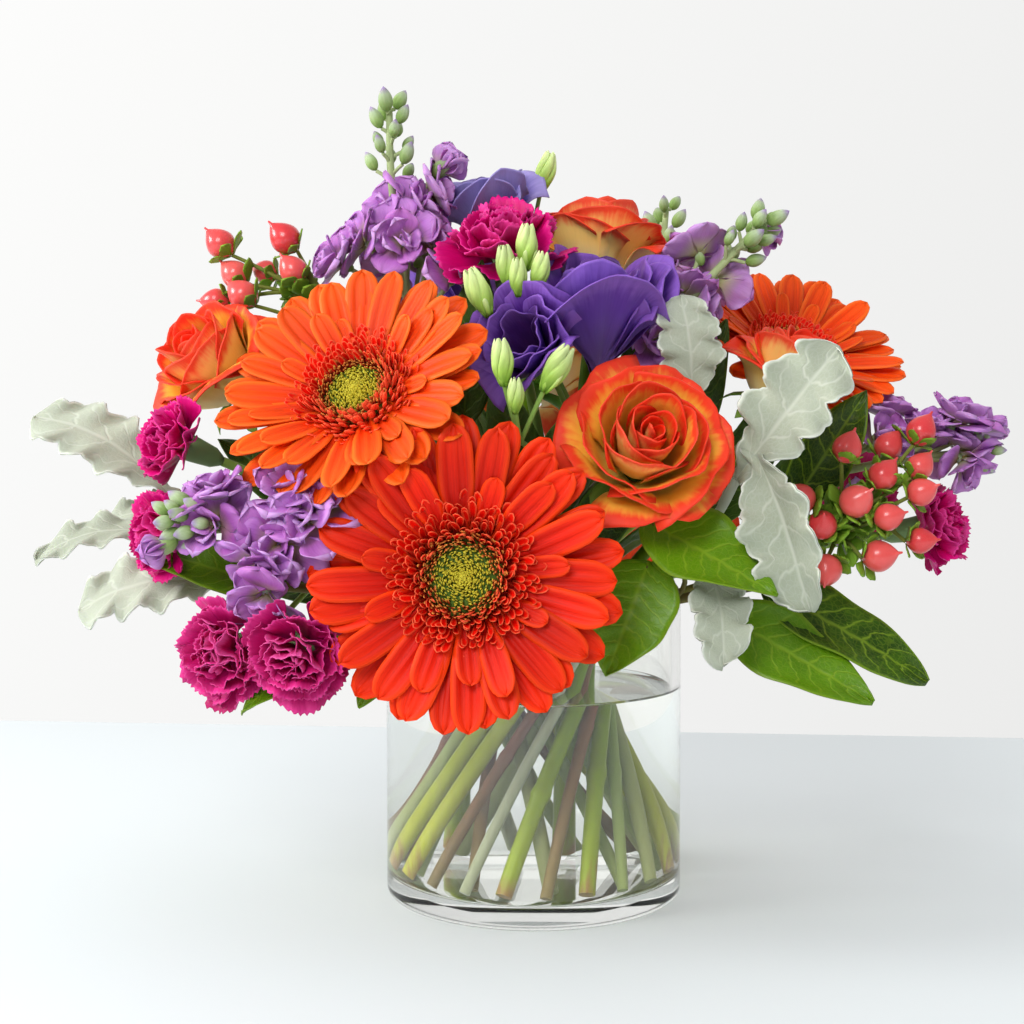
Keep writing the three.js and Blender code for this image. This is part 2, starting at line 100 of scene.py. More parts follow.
def turned(name, profile, sides, material):
    """A solid turned about +Z from a profile of (radius, height) that starts and ends on the axis."""
    rings = profile[1:-1]
    points = [(0, 0, profile[0][1])]
    for radius, height in rings:
        for k in range(sides):
            angle = 2 * math.pi * k / sides
            points.append((radius * math.cos(angle), radius * math.sin(angle), height))
    points.append((0, 0, profile[-1][1]))
    faces = [(0, 1 + (k + 1) % sides, 1 + k) for k in range(sides)]
    for r in range(len(rings) - 1):
        low = 1 + r * sides
        for k in range(sides):
            nxt = (k + 1) % sides
            faces.append((low + k, low + nxt, low + sides + nxt, low + sides + k))
    top = 1 + (len(rings) - 1) * sides
    faces += [(top + k, top + (k + 1) % sides, len(points) - 1) for k in range(sides)]
    return mesh_object(name, points, faces, material)


def arc(centre, radius, start, end, steps):
    """Points of a round stretch of a profile, with angles in degrees."""
    angles = np.radians(np.linspace(start, end, steps + 1))
    return [(centre[0] + radius * math.cos(a), centre[1] + radius * math.sin(a)) for a in angles]


def supported(profile):
    """Adds a point close to each end of every long stretch, so smooth shading stays true along it."""
    near = 0.3 * MM
    made = [profile[0]]
    for a, b in zip(profile, profile[1:]):
        length = math.dist(a, b)
        if length > 6 * near:
            for s in (near / length, 1 - near / length):
                made.append((a[0] + (b[0] - a[0]) * s, a[1] + (b[1] - a[1]) * s))
        made.append(b)
    return made


def finish_piece(piece, slot, *nodes):
    """Ties a finished piece to the body and hides the CAD nodes it stands for; slot is not used."""
    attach(piece, "root")
    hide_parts(*nodes)


def clear_material(name, tint, ior, roughness):
    """A clear refracting body that lets lamp light and bounced light through to what it holds."""
    material, tree = new_material(name)
    body = add(tree, "ShaderNodeBsdfPrincipled", {
        "Base Color": linear(tint), "Roughness": roughness, "IOR": ior, "Transmission Weight": 1.0})
    through = add(tree, "ShaderNodeBsdfTransparent", {"Color": linear(tint)})
    path = add(tree, "ShaderNodeLightPath").node
    passing = add(tree, "ShaderNodeMath", {
        0: path.outputs["Is Shadow Ray"], 1: path.outputs["Is Diffuse Ray"]}, operation="MAXIMUM")
    mixed = add(tree, "ShaderNodeMixShader", {0: passing, 1: body, 2: through})
    add(tree, "ShaderNodeOutputMaterial", {"Surface": mixed})
    return material


ROUND_SIDES = 128
GLASS_GAP = 0.3 * MM  # what the water's CAD solid leaves to the glass
HEEL = 3 * MM
vase_low, vase_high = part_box("vase")
water_low, water_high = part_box("water")
VASE_RADIUS = (vase_high.x - vase_low.x) / 2
VASE_TOP = vase_high.z
BORE_RADIUS = (water_high.x - water_low.x) / 2 + GLASS_GAP
FLOOR = water_low.z - GLASS_GAP
WATER_LEVEL = water_high.z

# Soda-lime glass, blown and fire-polished: nearly colourless, with a trace of green at the thick base.
glass = clear_material("soda_lime_glass", "FEFFFD", 1.5, 0.0)
wall = VASE_RADIUS - BORE_RADIUS
rim = (VASE_RADIUS - wall / 2, VASE_TOP - wall / 2)
vase_profile = [
    (0, 0.6 * MM), (VASE_RADIUS * 0.55, 0.5 * MM), (VASE_RADIUS * 0.86, 0.05 * MM),
    *arc((VASE_RADIUS - HEEL, HEEL), HEEL, -90, 0, 8),
    *arc(rim, wall / 2, 0, 180, 12),
    *arc((BORE_RADIUS - HEEL, FLOOR + HEEL), HEEL, 0, -90, 8),
    (BORE_RADIUS * 0.6, FLOOR), (0, FLOOR)]
vase = turned("glass_vase", supported(vase_profile), ROUND_SIDES, glass)
finish_piece(vase, "vase_glass", "vase")

# --- Water --------------------------------------------------------------------------------------
# Clear tap water poured in to about two thirds of the vase. Its rim climbs the glass a little, and
# it meets the glass with no air between them.

WET = 0.1 * MM  # the water's skin lies this far inside the glass, so no film of air shows
MENISCUS = 1.4 * MM
# Still water shows only in how it bends the stems, and in a bright line where it climbs the glass.
water_finish = clear_material("still_water", "FFFFFF", 1.333, 0.0)
wet_radius = BORE_RADIUS + WET
climb = [(BORE_RADIUS - s * 3.2 * MM, WATER_LEVEL + MENISCUS * (1 - s) ** 2.2)
         for s in (0.0, 0.15, 0.35, 0.6, 1.0)]
water_profile = [
    (0, FLOOR - WET), (BORE_RADIUS * 0.6, FLOOR - WET),
    *arc((wet_radius - HEEL, FLOOR - WET + HEEL), HEEL, -90, 0, 8),
    (wet_radius, WATER_LEVEL + MENISCUS), *climb,
    (BORE_RADIUS * 0.6, WATER_LEVEL), (0, WATER_LEVEL)]
water = turned("vase_water", supported(water_profile), ROUND_SIDES, water_finish)
finish_piece(water, "water", "water")

# --- Cut stems ----------------------------------------------------------------------------------
# Each flower's own stem, cut square, standing on the glass floor. They cross in a tight spiral
# just above the water, in two rings that lean opposite ways, and then bend out to their heads.

BINDING_HEIGHT = 92 * MM
OUTER_RING = {"waist": 23.5 * MM, "foot": 51 * MM, "start": -203, "turn": 1, "places": 20}
INNER_RING = {"waist": 10.5 * MM, "foot": 43 * MM, "start": -158, "turn": -1, "places": 9}
THICKNESS = {name: size * MM for name, size in {
    "gerbera": 6.4, "rose": 6.2, "stock": 5.6, "lisianthus": 5.0, "carnation": 4.4,
    "hypericum": 4.4, "foliage": 4.4, "dusty": 4.2, "branch": 2.6, "twig": 2.0}.items()}


def unit(x, y, z):
    return Vector((x, y, z)).normalized()


def place(x, y, z):
    return Vector((x, y, z)) * MM


def head_base(node, faces):
    """The middle of a head's back, found as the points of its CAD solid that lie furthest behind."""
    points = np.array([v.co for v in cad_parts[node].data.vertices])
    depth = points @ np.array(faces)
    return Vector(points[depth < depth.min() + 0.6 * MM].mean(0))


def bezier(corners, steps):
    """Points along a Bezier curve of any order."""
    order = len(corners) - 1
    t = np.linspace(0, 1, steps + 1)[:, None]
    weights = [math.comb(order, k) * t ** k * (1 - t) ** (order - k) for k in range(order + 1)]
    return sum(w * np.array(c) for w, c in zip(weights, corners))


def stem_route(ring, slot, thickness, end, faces):
    """A straight run from the foot to the crossing point, then a smooth bend to the head."""
    waist_angle = math.radians(ring["start"] + 360 / ring["places"] * slot)
    foot_angle = waist_angle - ring["turn"] * math.acos(ring["waist"] / ring["foot"])
    foot = Vector((ring["foot"] * math.cos(foot_angle), ring["foot"] * math.sin(foot_angle),
                   FLOOR + GLASS_GAP + 0.35 * thickness))
    waist = Vector((ring["waist"] * math.cos(waist_angle), ring["waist"] * math.sin(waist_angle),
                    BINDING_HEIGHT))
    along = (waist - foot).normalized()
    reach = 0.38 * (end - waist).length
    straight = [foot.lerp(waist, s) for s in np.linspace(0, 1, 14)]
    bend = bezier([waist, waist + along * reach, end - faces * reach, end], 26)
    return np.array([tuple(p) for p in straight] + [tuple(p) for p in bend[1:]])


def branch_route(stem, start, end):
    """A side branch that leaves the stem the given share of the way up and swings to its end."""
    k = min(int(start * (len(stem) - 1)), len(stem) - 2)
    root = Vector(stem[k])
    along = Vector(stem[k + 1] - stem[k]).normalized()
    lift = root + along * 0.45 * (end - root).length
    return bezier([root, lift, end], 14)


def interface(tree, sockets):
    """Declares a Geometry Nodes tree's inputs and gives back their identifiers by name."""
    tree.interface.new_socket(name="Geometry", in_out="OUTPUT", socket_type="NodeSocketGeometry")
    names = {}
    for name, (kind, value) in sockets.items():
        made = tree.interface.new_socket(name=name, in_out="INPUT", socket_type=kind)
        if value is not None:
            made.default_value = value
        names[name] = made.identifier
    return names


def settle(made, tree, names, values):
    """Runs a tree on an object with the given inputs and leaves its result as a plain mesh."""
    modifier = made.modifiers.new(tree.name, "NODES")
    modifier.node_group = tree
    for name, value in values.items():
        modifier[names[name]] = value
    bpy.context.view_layer.update()
    evaluated = made.evaluated_get(bpy.context.evaluated_depsgraph_get())
    return bpy.data.meshes.new_from_object(evaluated)


def sweep_tree():
    """Sweeps a round section along each curve, to the radius at each of its points."""
    tree = bpy.data.node_groups.new("stem_sweep", "GeometryNodeTree")
    names = interface(tree, {
        "Curves": ("NodeSocketGeometry", None), "Sides": ("NodeSocketInt", 12),
        "Material": ("NodeSocketMaterial", None)})
    given = tree.nodes.new("NodeGroupInput").outputs
    ring = add(tree, "GeometryNodeCurvePrimitiveCircle", {"Resolution": given["Sides"], "Radius": 1.0})
    swept = add(tree, "GeometryNodeCurveToMesh", {
        "Curve": given["Curves"], "Profile Curve": ring, "Fill Caps": True,
        "Scale": add(tree, "GeometryNodeInputRadius")})
    real = add(tree, "GeometryNodeRealizeInstances", {"Geometry": swept})
    dressed = add(tree, "GeometryNodeSetMaterial", {"Geometry": real, "Material": given["Material"]})
    add(tree, "NodeGroupOutput", {"Geometry": dressed})
    return tree, names


SWEEP, SWEEP_NAMES = sweep_tree()


def swept_piece(name, routes, material, sides=12):
    """One mesh piece from routes of (points, radius at each point)."""
    curve = bpy.data.curves.new(name, "CURVE")
    curve.dimensions = "3D"
    for points, radii in routes:
        spline = curve.splines.new("POLY")
        spline.points.add(len(points) - 1)
        spline.points.foreach_set("co", np.c_[points, np.ones(len(points))].ravel())
        spline.points.foreach_set("radius", np.broadcast_to(radii, len(points)).astype(float))
    carrier = bpy.data.objects.new(name + "_curve", curve)
    bpy.context.scene.collection.objects.link(carrier)
    mesh = settle(carrier, SWEEP, SWEEP_NAMES, {"Sides": sides, "Material": material})
    bpy.data.objects.remove(carrier)
    mesh.shade_smooth()
    piece = bpy.data.objects.new(name, mesh)
    bpy.context.scene.collection.objects.link(piece)
    return piece


STEM_HEIGHT = 250 * MM  # the height over which a stem's colours are laid out
STEM_ZONES = [0.04, 0.085, 0.35, 0.8]  # where they change on a thick stem: cut end, wet foot, waist, top
RIBS_ACROSS = 420
RIBS_ALONG = 60


def plant_material(name, colours, at, streaks, roughness, sheen=0.0, through=0.0, bump=0.3, by="UV",
                   rim=None):
    """A living plant skin: colours along its length, streaks in it, light and dark pieces.

    colours are hex at the places at, from base to tip; streaks is (across, along, strength) of
    the fine veins; through is how much light soaks into it; rim is the colour of its two edges."""
    material, tree = new_material(name)
    if by == "UV":
        where = add(tree, "ShaderNodeUVMap", uv_map="UVMap")
        split = add(tree, "ShaderNodeSeparateXYZ", {"Vector": where}).node
        run = split.outputs["Y"]
    else:
        where = add(tree, "ShaderNodeTexCoord").node.outputs["Object"]
        split = add(tree, "ShaderNodeSeparateXYZ", {"Vector": where}).node
        run = add(tree, "ShaderNodeMath", {0: split.outputs["Z"], 1: 1 / STEM_HEIGHT},
                  operation="MULTIPLY")
    across, along, strength = streaks
    lines = add(tree, "ShaderNodeMapping", {"Vector": where, "Scale": (across, along, along)})
    veins = add(tree, "ShaderNodeTexNoise", {"Vector": lines, "Scale": 1.0, "Detail": 3.0})
    shifted = add(tree, "ShaderNodeMath", {0: veins, 1: 0.16, 2: -0.08}, operation="MULTIPLY_ADD")
    moved = add(tree, "ShaderNodeMath", {0: run, 1: shifted}, operation="ADD")
    ramp = add(tree, "ShaderNodeValToRGB", {"Fac": moved}).node
    while len(ramp.color_ramp.elements) < len(colours):
        ramp.color_ramp.elements.new(0.5)
    for element, code, spot in zip(ramp.color_ramp.elements, colours, at):
        element.position = spot
        element.color = linear(code)
    tone = add(tree, "ShaderNodeAttribute", attribute_name="shade").node.outputs["Fac"]
    level = add(tree, "ShaderNodeMath", {0: tone, 1: 0.3, 2: 0.85}, operation="MULTIPLY_ADD")
    grain = add(tree, "ShaderNodeMath", {0: veins, 1: strength, 2: 1 - strength / 2},
                operation="MULTIPLY_ADD")
    value = add(tree, "ShaderNodeMath", {0: level, 1: grain}, operation="MULTIPLY")
    body = ramp.outputs["Color"]
    if rim is not None:
        aside = add(tree, "ShaderNodeMath", {0: split.outputs["X"], 1: 2.0}, operation="PINGPONG")
        centred = add(tree, "ShaderNodeMath", {0: aside, 1: -0.5}, operation="ADD")
        off = add(tree, "ShaderNodeMath", {0: centred}, operation="ABSOLUTE")
        edge = add(tree, "ShaderNodeMapRange", {"Value": off, "From Min": 0.3, "From Max": 0.5})
        body = add(tree, "ShaderNodeMix", {"Factor": edge, "A": body, "B": linear(rim)},
                   data_type="RGBA")
    colour = add(tree, "ShaderNodeHueSaturation", {"Color": body, "Value": value})
    relief = add(tree, "ShaderNodeBump", {"Height": veins, "Strength": bump, "Distance": 0.3 * MM})
    skin = add(tree, "ShaderNodeBsdfPrincipled", {
        "Base Color": colour, "Roughness": roughness, "IOR": 1.4, "Normal": relief,
        "Specular IOR Level": 0.22, "Sheen Weight": sheen, "Sheen Roughness": 0.4,
        "Subsurface Weight": through, "Subsurface Radius": (1.0, 0.4, 0.25),
        "Subsurface Scale": 0.8 * MM})
    add(tree, "ShaderNodeOutputMaterial", {"Surface": skin})
    return material


# Smooth green stems, wet and pale low down, with faint lengthwise ribs.
gerbera_stem_skin = plant_material("gerbera_stem", ["A8864C", "B2B62A", "9CAC22", "8FA830"],
                                   STEM_ZONES, (RIBS_ACROSS, RIBS_ALONG, 0.5), 0.45, by="Object")
rose_stem_skin = plant_material("rose_stem", ["A07C3C", "98AA1E", "7E9C16", "5E8414"],
                                STEM_ZONES, (RIBS_ACROSS, RIBS_ALONG, 0.4), 0.35, by="Object")


def straight_stem(node_stem, kind, ring, slot, faces):
    """The route of a single flower's stem up to the back of its head."""
    base = head_base(node_stem + "_head", faces)
    return stem_route(ring, slot, THICKNESS[kind], base - faces * GLASS_GAP, faces)


def stem_radii(count, thickness, joints):
    """A stem's radius at each point: a slight taper, and a swollen ring at each joint."""
    t = np.linspace(0, 1, count)
    radii = 0.5 * thickness * (1.06 - 0.16 * t)
    for joint in joints:
        radii = radii * (1 + 0.22 * np.exp(-((t - joint) / 0.012) ** 2))
    return radii


GERBERAS = {
    "gerbera_front": (unit(-0.03, -1, 0.1), 6), "gerbera_left": (unit(-0.3, -0.8, 0.55), 5),
    "gerbera_right": (unit(0.25, -0.6, 0.75), 14),
    "gerbera_back_right": (unit(0.35, 1, 0.35), 15), "gerbera_back_left": (unit(-0.3, 0.8, 0.6), 17)}
ROSES = {
    "rose_front": (unit(0.12, -0.9, 0.42), OUTER_RING, 9),
    "rose_left": (unit(-0.6, -0.55, 0.6), OUTER_RING, 1),
    "rose_right": (unit(0.45, -0.35, 0.8), OUTER_RING, 11),
    "rose_top": (unit(0.1, 0.1, 1), INNER_RING, 4),
    "rose_back": (unit(0.1, 0.75, 0.65), OUTER_RING, 16)}


def dense(points, count):
    """A route with its points spread evenly, for a sweep that follows it closely."""
    run = np.r_[0, np.cumsum(np.linalg.norm(np.diff(points, axis=0), axis=1))]
    at = np.linspace(0, run[-1], count)
    return np.stack([np.interp(at, run, points[:, k]) for k in range(3)], 1)


routes = []
for name, (faces, slot) in GERBERAS.items():
    path = dense(straight_stem(name, "gerbera", OUTER_RING, slot, faces), 60)
    routes.append((path, stem_radii(60, THICKNESS["gerbera"], [])))
gerbera_stems = swept_piece("gerbera_stems", routes, gerbera_stem_skin)
finish_piece(gerbera_stems, "flower_stems", *[name + "_stem" for name in GERBERAS])

routes = []
for name, (faces, ring, slot) in ROSES.items():
    path = dense(straight_stem(name, "rose", ring, slot, faces), 120)
    routes.append((path, stem_radii(120, THICKNESS["rose"], [0.22, 0.52, 0.74])))
rose_stems = swept_piece("rose_stems", routes, rose_stem_skin, 14)
finish_piece(rose_stems, "flower_stems", *[name + "_stem" for name in ROSES])

# --- Gerberas -----------------------------------------------------------------------------------
# Large composite heads: two and a half rows of long grooved ray petals over a green calyx, then a
# fringe of short red florets, a dark ring of stamens and a tight green eye of unopened florets.


def shell(name, surface, columns, rows, thickness):
    """A closed thin skin over surface(u, v): u from -1 to 1 across, v from 0 to 1 along.

    The underside keeps its own half of the UV map, two units over, so a skin can tell them apart."""
    along = np.linspace(0, 1, rows)
    u, v = np.meshgrid(np.linspace(-1, 1, columns), 1 - (1 - along) ** 1.35)
    middle = np.stack(surface(u, v), -1)
    normal = np.cross(np.gradient(middle, axis=1), np.gradient(middle, axis=0))
    normal /= np.linalg.norm(normal, axis=-1, keepdims=True) + 1e-15
    points = np.concatenate([(middle + normal * thickness / 2).reshape(-1, 3),
                             (middle - normal * thickness / 2).reshape(-1, 3)])
    flat = np.stack([(u + 1) / 2, v], -1).reshape(-1, 2)
    uvs = np.concatenate([flat, flat + (2, 0)])
    under = rows * columns
    grid = np.arange(under).reshape(rows, columns)
    quads = np.stack([grid[:-1, :-1], grid[:-1, 1:], grid[1:, 1:], grid[1:, :-1]], -1).reshape(-1, 4)
    border = np.concatenate([grid[0, :], grid[1:, -1], grid[-1, -2::-1], grid[-2:0:-1, 0]])
    onward = np.roll(border, -1)
    edge = np.stack([onward, border, border + under, onward + under], -1)
    faces = np.concatenate([quads, quads[:, ::-1] + under, edge])
    mesh = bpy.data.meshes.new(name)
    mesh.from_pydata(points.tolist(), [], faces.tolist())
    mesh.shade_smooth()
    layer = mesh.uv_layers.new(name="UVMap")
    layer.uv.foreach_set("vector", uvs[faces.ravel()].astype(np.float32).ravel())
    return mesh


def kit(name, meshes):
    """A loose collection of petal shapes for a whorl to choose from."""
    collection = bpy.data.collections.new(name)
    for k, mesh in enumerate(meshes):
        collection.objects.link(bpy.data.objects.new(f"{name}_{k}", mesh))
    return collection


def whorl_tree():
    """Sets petals round an axis, turning by a fixed angle from one to the next.

    Radius, height, tilt above the flower's plane and size run evenly from the first to the last."""
    tree = bpy.data.node_groups.new("petal_whorl", "GeometryNodeTree")
    ramps = ("Radius", "Height", "Tilt", "Size")
    single = ("Turn", "Loose turn", "Loose tilt", "Loose roll", "Loose size")
    floats = [f"{name} {end}" for name in ramps for end in ("first", "last")] + list(single)
    names = interface(tree, {
        "Petals": ("NodeSocketCollection", None), "Count": ("NodeSocketInt", 12),
        "Seed": ("NodeSocketInt", 1), "Material": ("NodeSocketMaterial", None),
        **{name: ("NodeSocketFloat", 0.0) for name in floats}})
    given = tree.nodes.new("NodeGroupInput").outputs
    index = add(tree, "GeometryNodeInputIndex")
    steps = add(tree, "ShaderNodeMath", {0: given["Count"], 1: 1.0}, operation="SUBTRACT")
    share = add(tree, "ShaderNodeMath", {0: index, 1: steps}, operation="DIVIDE")
    radius, height, tilt, size = [
        add(tree, "ShaderNodeMix", {
            "Factor": share, "A": given[name + " first"], "B": given[name + " last"]})
        for name in ramps]
    seeds = [add(tree, "ShaderNodeMath", {0: given["Seed"], 1: 11.0, 2: float(k)},
                 operation="MULTIPLY_ADD") for k in range(6)]
    turn_by, tilt_by, roll_by, size_by = [
        add(tree, "ShaderNodeMath", {
            0: add(tree, "FunctionNodeRandomValue", {"Min": -1.0, "Max": 1.0, "Seed": seeds[k]}),
            1: given[name]}, operation="MULTIPLY")
        for k, name in enumerate(("Loose turn", "Loose tilt", "Loose roll", "Loose size"))]
    angle = add(tree, "ShaderNodeMath", {0: index, 1: given["Turn"], 2: turn_by},
                operation="MULTIPLY_ADD")
    east = add(tree, "ShaderNodeMath", {
        0: add(tree, "ShaderNodeMath", {0: angle}, operation="COSINE"), 1: radius},
        operation="MULTIPLY")
    north = add(tree, "ShaderNodeMath", {
        0: add(tree, "ShaderNodeMath", {0: angle}, operation="SINE"), 1: radius},
        operation="MULTIPLY")
    spot = add(tree, "ShaderNodeCombineXYZ", {"X": east, "Y": north, "Z": height})
    spots = add(tree, "GeometryNodePoints", {"Count": given["Count"], "Position": spot})
    raised = add(tree, "ShaderNodeMath", {0: tilt, 1: tilt_by}, operation="ADD")
    heading = add(tree, "ShaderNodeMath", {0: angle, 1: math.pi / 2}, operation="SUBTRACT")
    turned_to = add(tree, "FunctionNodeEulerToRotation", {"Euler": add(
        tree, "ShaderNodeCombineXYZ", {"X": raised, "Y": roll_by, "Z": heading})})
    grown = add(tree, "ShaderNodeMath", {0: size, 1: size_by, 2: size}, operation="MULTIPLY_ADD")
    shapes = add(tree, "GeometryNodeCollectionInfo", {
        "Collection": given["Petals"], "Separate Children": True, "Reset Children": True})
    pick = add(tree, "FunctionNodeRandomValue", {"Min": 0, "Max": 60, "Seed": seeds[4]},
               data_type="INT")
    petals = add(tree, "GeometryNodeInstanceOnPoints", {
        "Points": spots, "Instance": shapes, "Pick Instance": True, "Instance Index": pick,
        "Rotation": turned_to, "Scale": grown})
    tone = add(tree, "FunctionNodeRandomValue", {"Min": 0.0, "Max": 1.0, "Seed": seeds[5]})
    toned = add(tree, "GeometryNodeStoreNamedAttribute", {
        "Geometry": petals, "Name": "shade", "Value": tone}, data_type="FLOAT", domain="INSTANCE")
    real = add(tree, "GeometryNodeRealizeInstances", {"Geometry": toned})
    dressed = add(tree, "GeometryNodeSetMaterial", {"Geometry": real, "Material": given["Material"]})
    add(tree, "NodeGroupOutput", {"Geometry": dressed})
    return tree, names


WHORL, WHORL_NAMES = whorl_tree()
GOLDEN_TURN = math.pi * (3 - math.sqrt(5))


def whorl(petals, count, seed, radius, height, tilt, size=(1, 1), turn=GOLDEN_TURN, loose=(0, 0, 0, 0)):
    """The mesh of one whorl; tilt and the loose turn, tilt and roll are given in degrees."""
    values = {"Petals": petals, "Count": count, "Seed": seed, "Turn": float(turn)}
    for name, ends in (("Radius", radius), ("Height", height), ("Size", size),
                       ("Tilt", np.radians(tilt))):
        values[name + " first"] = float(ends[0])
        values[name + " last"] = float(ends[1])
    for name, amount in zip(("Loose turn", "Loose tilt", "Loose roll"), np.radians(loose[:3])):
        values[name] = float(amount)
    values["Loose size"] = float(loose[3])
    carrier = bpy.data.objects.new("carrier", bpy.data.meshes.new("carrier"))
    bpy.context.scene.collection.objects.link(carrier)
    mesh = settle(carrier, WHORL, WHORL_NAMES, values)
    bpy.data.objects.remove(carrier)
    return mesh


def assembled(name, parts, material):
    """One smooth mesh piece out of (mesh, matrix) parts, keeping their UVs and shades."""
    points, corners, sizes, uvs, shades = [], [], [], [], []
    start = 0
    for mesh, matrix in parts:
        count = len(mesh.vertices)
        co = np.empty(count * 3, np.float32)
        mesh.vertices.foreach_get("co", co)
        turn = np.array(matrix)
        points.append(co.reshape(-1, 3) @ turn[:3, :3].T + turn[:3, 3])
        index = np.empty(len(mesh.loops), np.int32)
        mesh.loops.foreach_get("vertex_index", index)
        corners.append(index + start)
        start += count
        size = np.empty(len(mesh.polygons), np.int32)
        mesh.polygons.foreach_get("loop_total", size)
        sizes.append(size)
        uv = np.zeros(len(mesh.loops) * 2, np.float32)
        if "UVMap" in mesh.attributes:
            mesh.attributes["UVMap"].data.foreach_get("vector", uv)
        uvs.append(uv)
        shade = np.full(count, 0.5, np.float32)
        if "shade" in mesh.attributes:
            mesh.attributes["shade"].data.foreach_get("value", shade)
        shades.append(shade)
    points, corners, sizes = [np.concatenate(a) for a in (points, corners, sizes)]
    mesh = bpy.data.meshes.new(name)
    mesh.vertices.add(len(points))
    mesh.vertices.foreach_set("co", points.astype(np.float32).ravel())
    mesh.loops.add(len(corners))
    mesh.loops.foreach_set("vertex_index", corners)
    mesh.polygons.add(len(sizes))
    mesh.polygons.foreach_set("loop_start", np.r_[0, np.cumsum(sizes)[:-1]].astype(np.int32))
    mesh.polygons.foreach_set("loop_total", sizes)
    mesh.update(calc_edges=True)
    mesh.shade_smooth()
    mesh.uv_layers.new(name="UVMap").uv.foreach_set("vector", np.concatenate(uvs))
    mesh.attributes.new("shade", "FLOAT", "POINT").data.foreach_set("value", np.concatenate(shades))
    mesh.materials.append(material)
    made = bpy.data.objects.new(name, mesh)
    bpy.context.scene.collection.objects.link(made)
    return made


def stand(at, faces, spin=0.0, size=1.0):
    """The matrix that turns a head's +Z to face its way, spins it and carries it to its place."""
    turn = faces.to_track_quat("Z", "Y").to_matrix().to_4x4()
    return Matrix.Translation(at) @ turn @ Matrix.Rotation(spin, 4, "Z") @ Matrix.Scale(size, 4)


def smooth(x):
    """An even rise from 0 to 1."""
    x = np.clip(x, 0, 1)
    return x * x * (3 - 2 * x)


def round_tip(v, start):
    """The width left at v where a blade closes in a round tip from start on."""
    return np.sqrt(np.clip(1 - (np.clip((v - start) / (1 - start), 0, 1)) ** 2, 4e-4, 1))


def ray_petal(name, length, width, rng):
    """A long ray petal: narrow foot, three low ridges, a soft cup and a bent, faintly notched tip."""
    droop = rng.uniform(-0.02, 0.12)
    twist = rng.uniform(-0.25, 0.25)
    cup = rng.uniform(0.08, 0.2)
    sway = rng.uniform(-0.05, 0.05)
    wide = rng.uniform(0.92, 1.08)

    def surface(u, v):
        half = width / 2 * wide * (0.4 + 0.6 * smooth(v / 0.55)) * round_tip(v, 0.76)
        x = u * half + sway * length * v ** 2
        notch = 0.012 * length * (1 - np.cos(2 * math.pi * u)) * smooth((v - 0.85) / 0.15)
        y = length * v - notch
        ridges = 0.05 * width * np.cos(3 * math.pi * u) * (1 - v) ** 0.3
        bend = length * (0.10 * v - droop * v ** 2.2)
        z = bend + cup * half * u ** 2 + twist * u * half * v + ridges
        return x, y, z
    return shell(name, surface, 13, 12, 0.45 * MM)


def floret_petal(name, length, width, curl, rng):
    """A short strap: a disc floret's petal, curling up and closing to a blunt tip."""
    bend = curl * rng.uniform(0.8, 1.2)

    def surface(u, v):
        half = width / 2 * (0.55 + 0.45 * smooth(v / 0.5)) * round_tip(v, 0.7)
        angle = bend * v
        y = length * np.sin(angle) / bend
        z = length * (1 - np.cos(angle)) / bend + 0.5 * half * u ** 2
        return u * half, y, z
    return shell(name, surface, 5, 6, 0.35 * MM)


GERBERA_SIZE = 113 * MM
CALYX_DEPTH = 15 * MM
rng = np.random.default_rng(11)
rays = kit("rays", [ray_petal("ray", 45 * MM, 13.4 * MM, rng) for _ in range(9)])
short_rays = kit("short_rays", [ray_petal("short_ray", 27 * MM, 9.5 * MM, rng) for _ in range(5)])
fringe = kit("fringe", [floret_petal("fringe", 9 * MM, 2.7 * MM, 0.8, rng) for _ in range(5)])
stamens = kit("stamens", [floret_petal("stamen", 3.6 * MM, 0.9 * MM, 0.7, rng) for _ in range(4)])
eye_buds = kit("eye_buds", [floret_petal("eye_bud", 1.9 * MM, 0.85 * MM, 0.5, rng) for _ in range(3)])
bracts = kit("bracts", [floret_petal("bract", 11 * MM, 3.2 * MM, -0.25, rng) for _ in range(3)])

# Ray petals are waxy satin: saturated orange-red, deeper towards the foot, with fine long veins.
ray_skin = plant_material("gerbera_ray_petal", ["880800", "BC1002", "D41C02", "E82E04"],
                          [0.0, 0.3, 0.7, 1.0], (26, 2.2, 0.55), 0.46, 0.0, 0.06, 0.5, "UV", "EE4008")
# Three heads have the same satin in a lighter orange, so they glow beside the red ones.
orange_ray_skin = plant_material("orange_ray_petal", ["981000", "D43204", "E84408", "EE540E"],
                                 [0.0, 0.3, 0.7, 1.0], (26, 2.2, 0.55), 0.46, 0.0, 0.06, 0.5, "UV", "F26A1C")
# Fringe florets are a little glossier, with pale edges that read as a frayed bright ring.
fringe_skin = plant_material("gerbera_fringe_floret", ["A00804", "EA1006", "F02010"],
                             [0.0, 0.5, 1.0], (6, 2, 0.2), 0.4, 0.0, 0.05, 0.3, "UV", "F0603C")
# Stamens are dry and dark, and their pollen tips break the ring up into golden dots.
stamen_skin = plant_material("gerbera_stamen", ["70140A", "A82412", "E29444"],
                             [0.0, 0.55, 0.95], (4, 3, 0.3), 0.5)
# Closed florets fill the eye with matte green-gold grains.
eye_skin = plant_material("gerbera_eye", ["7E7414", "B0A020", "CEC23E"], [0.0, 0.5, 1.0],
                          (4, 3, 0.2), 0.5)
# The calyx is dull and finely ribbed, a quiet green behind the bright rays.
calyx_skin = plant_material("gerbera_calyx", ["5C7A2E", "6E8E3A", "86A650"], [0.0, 0.5, 1.0],
                            (8, 2, 0.3), 0.6)


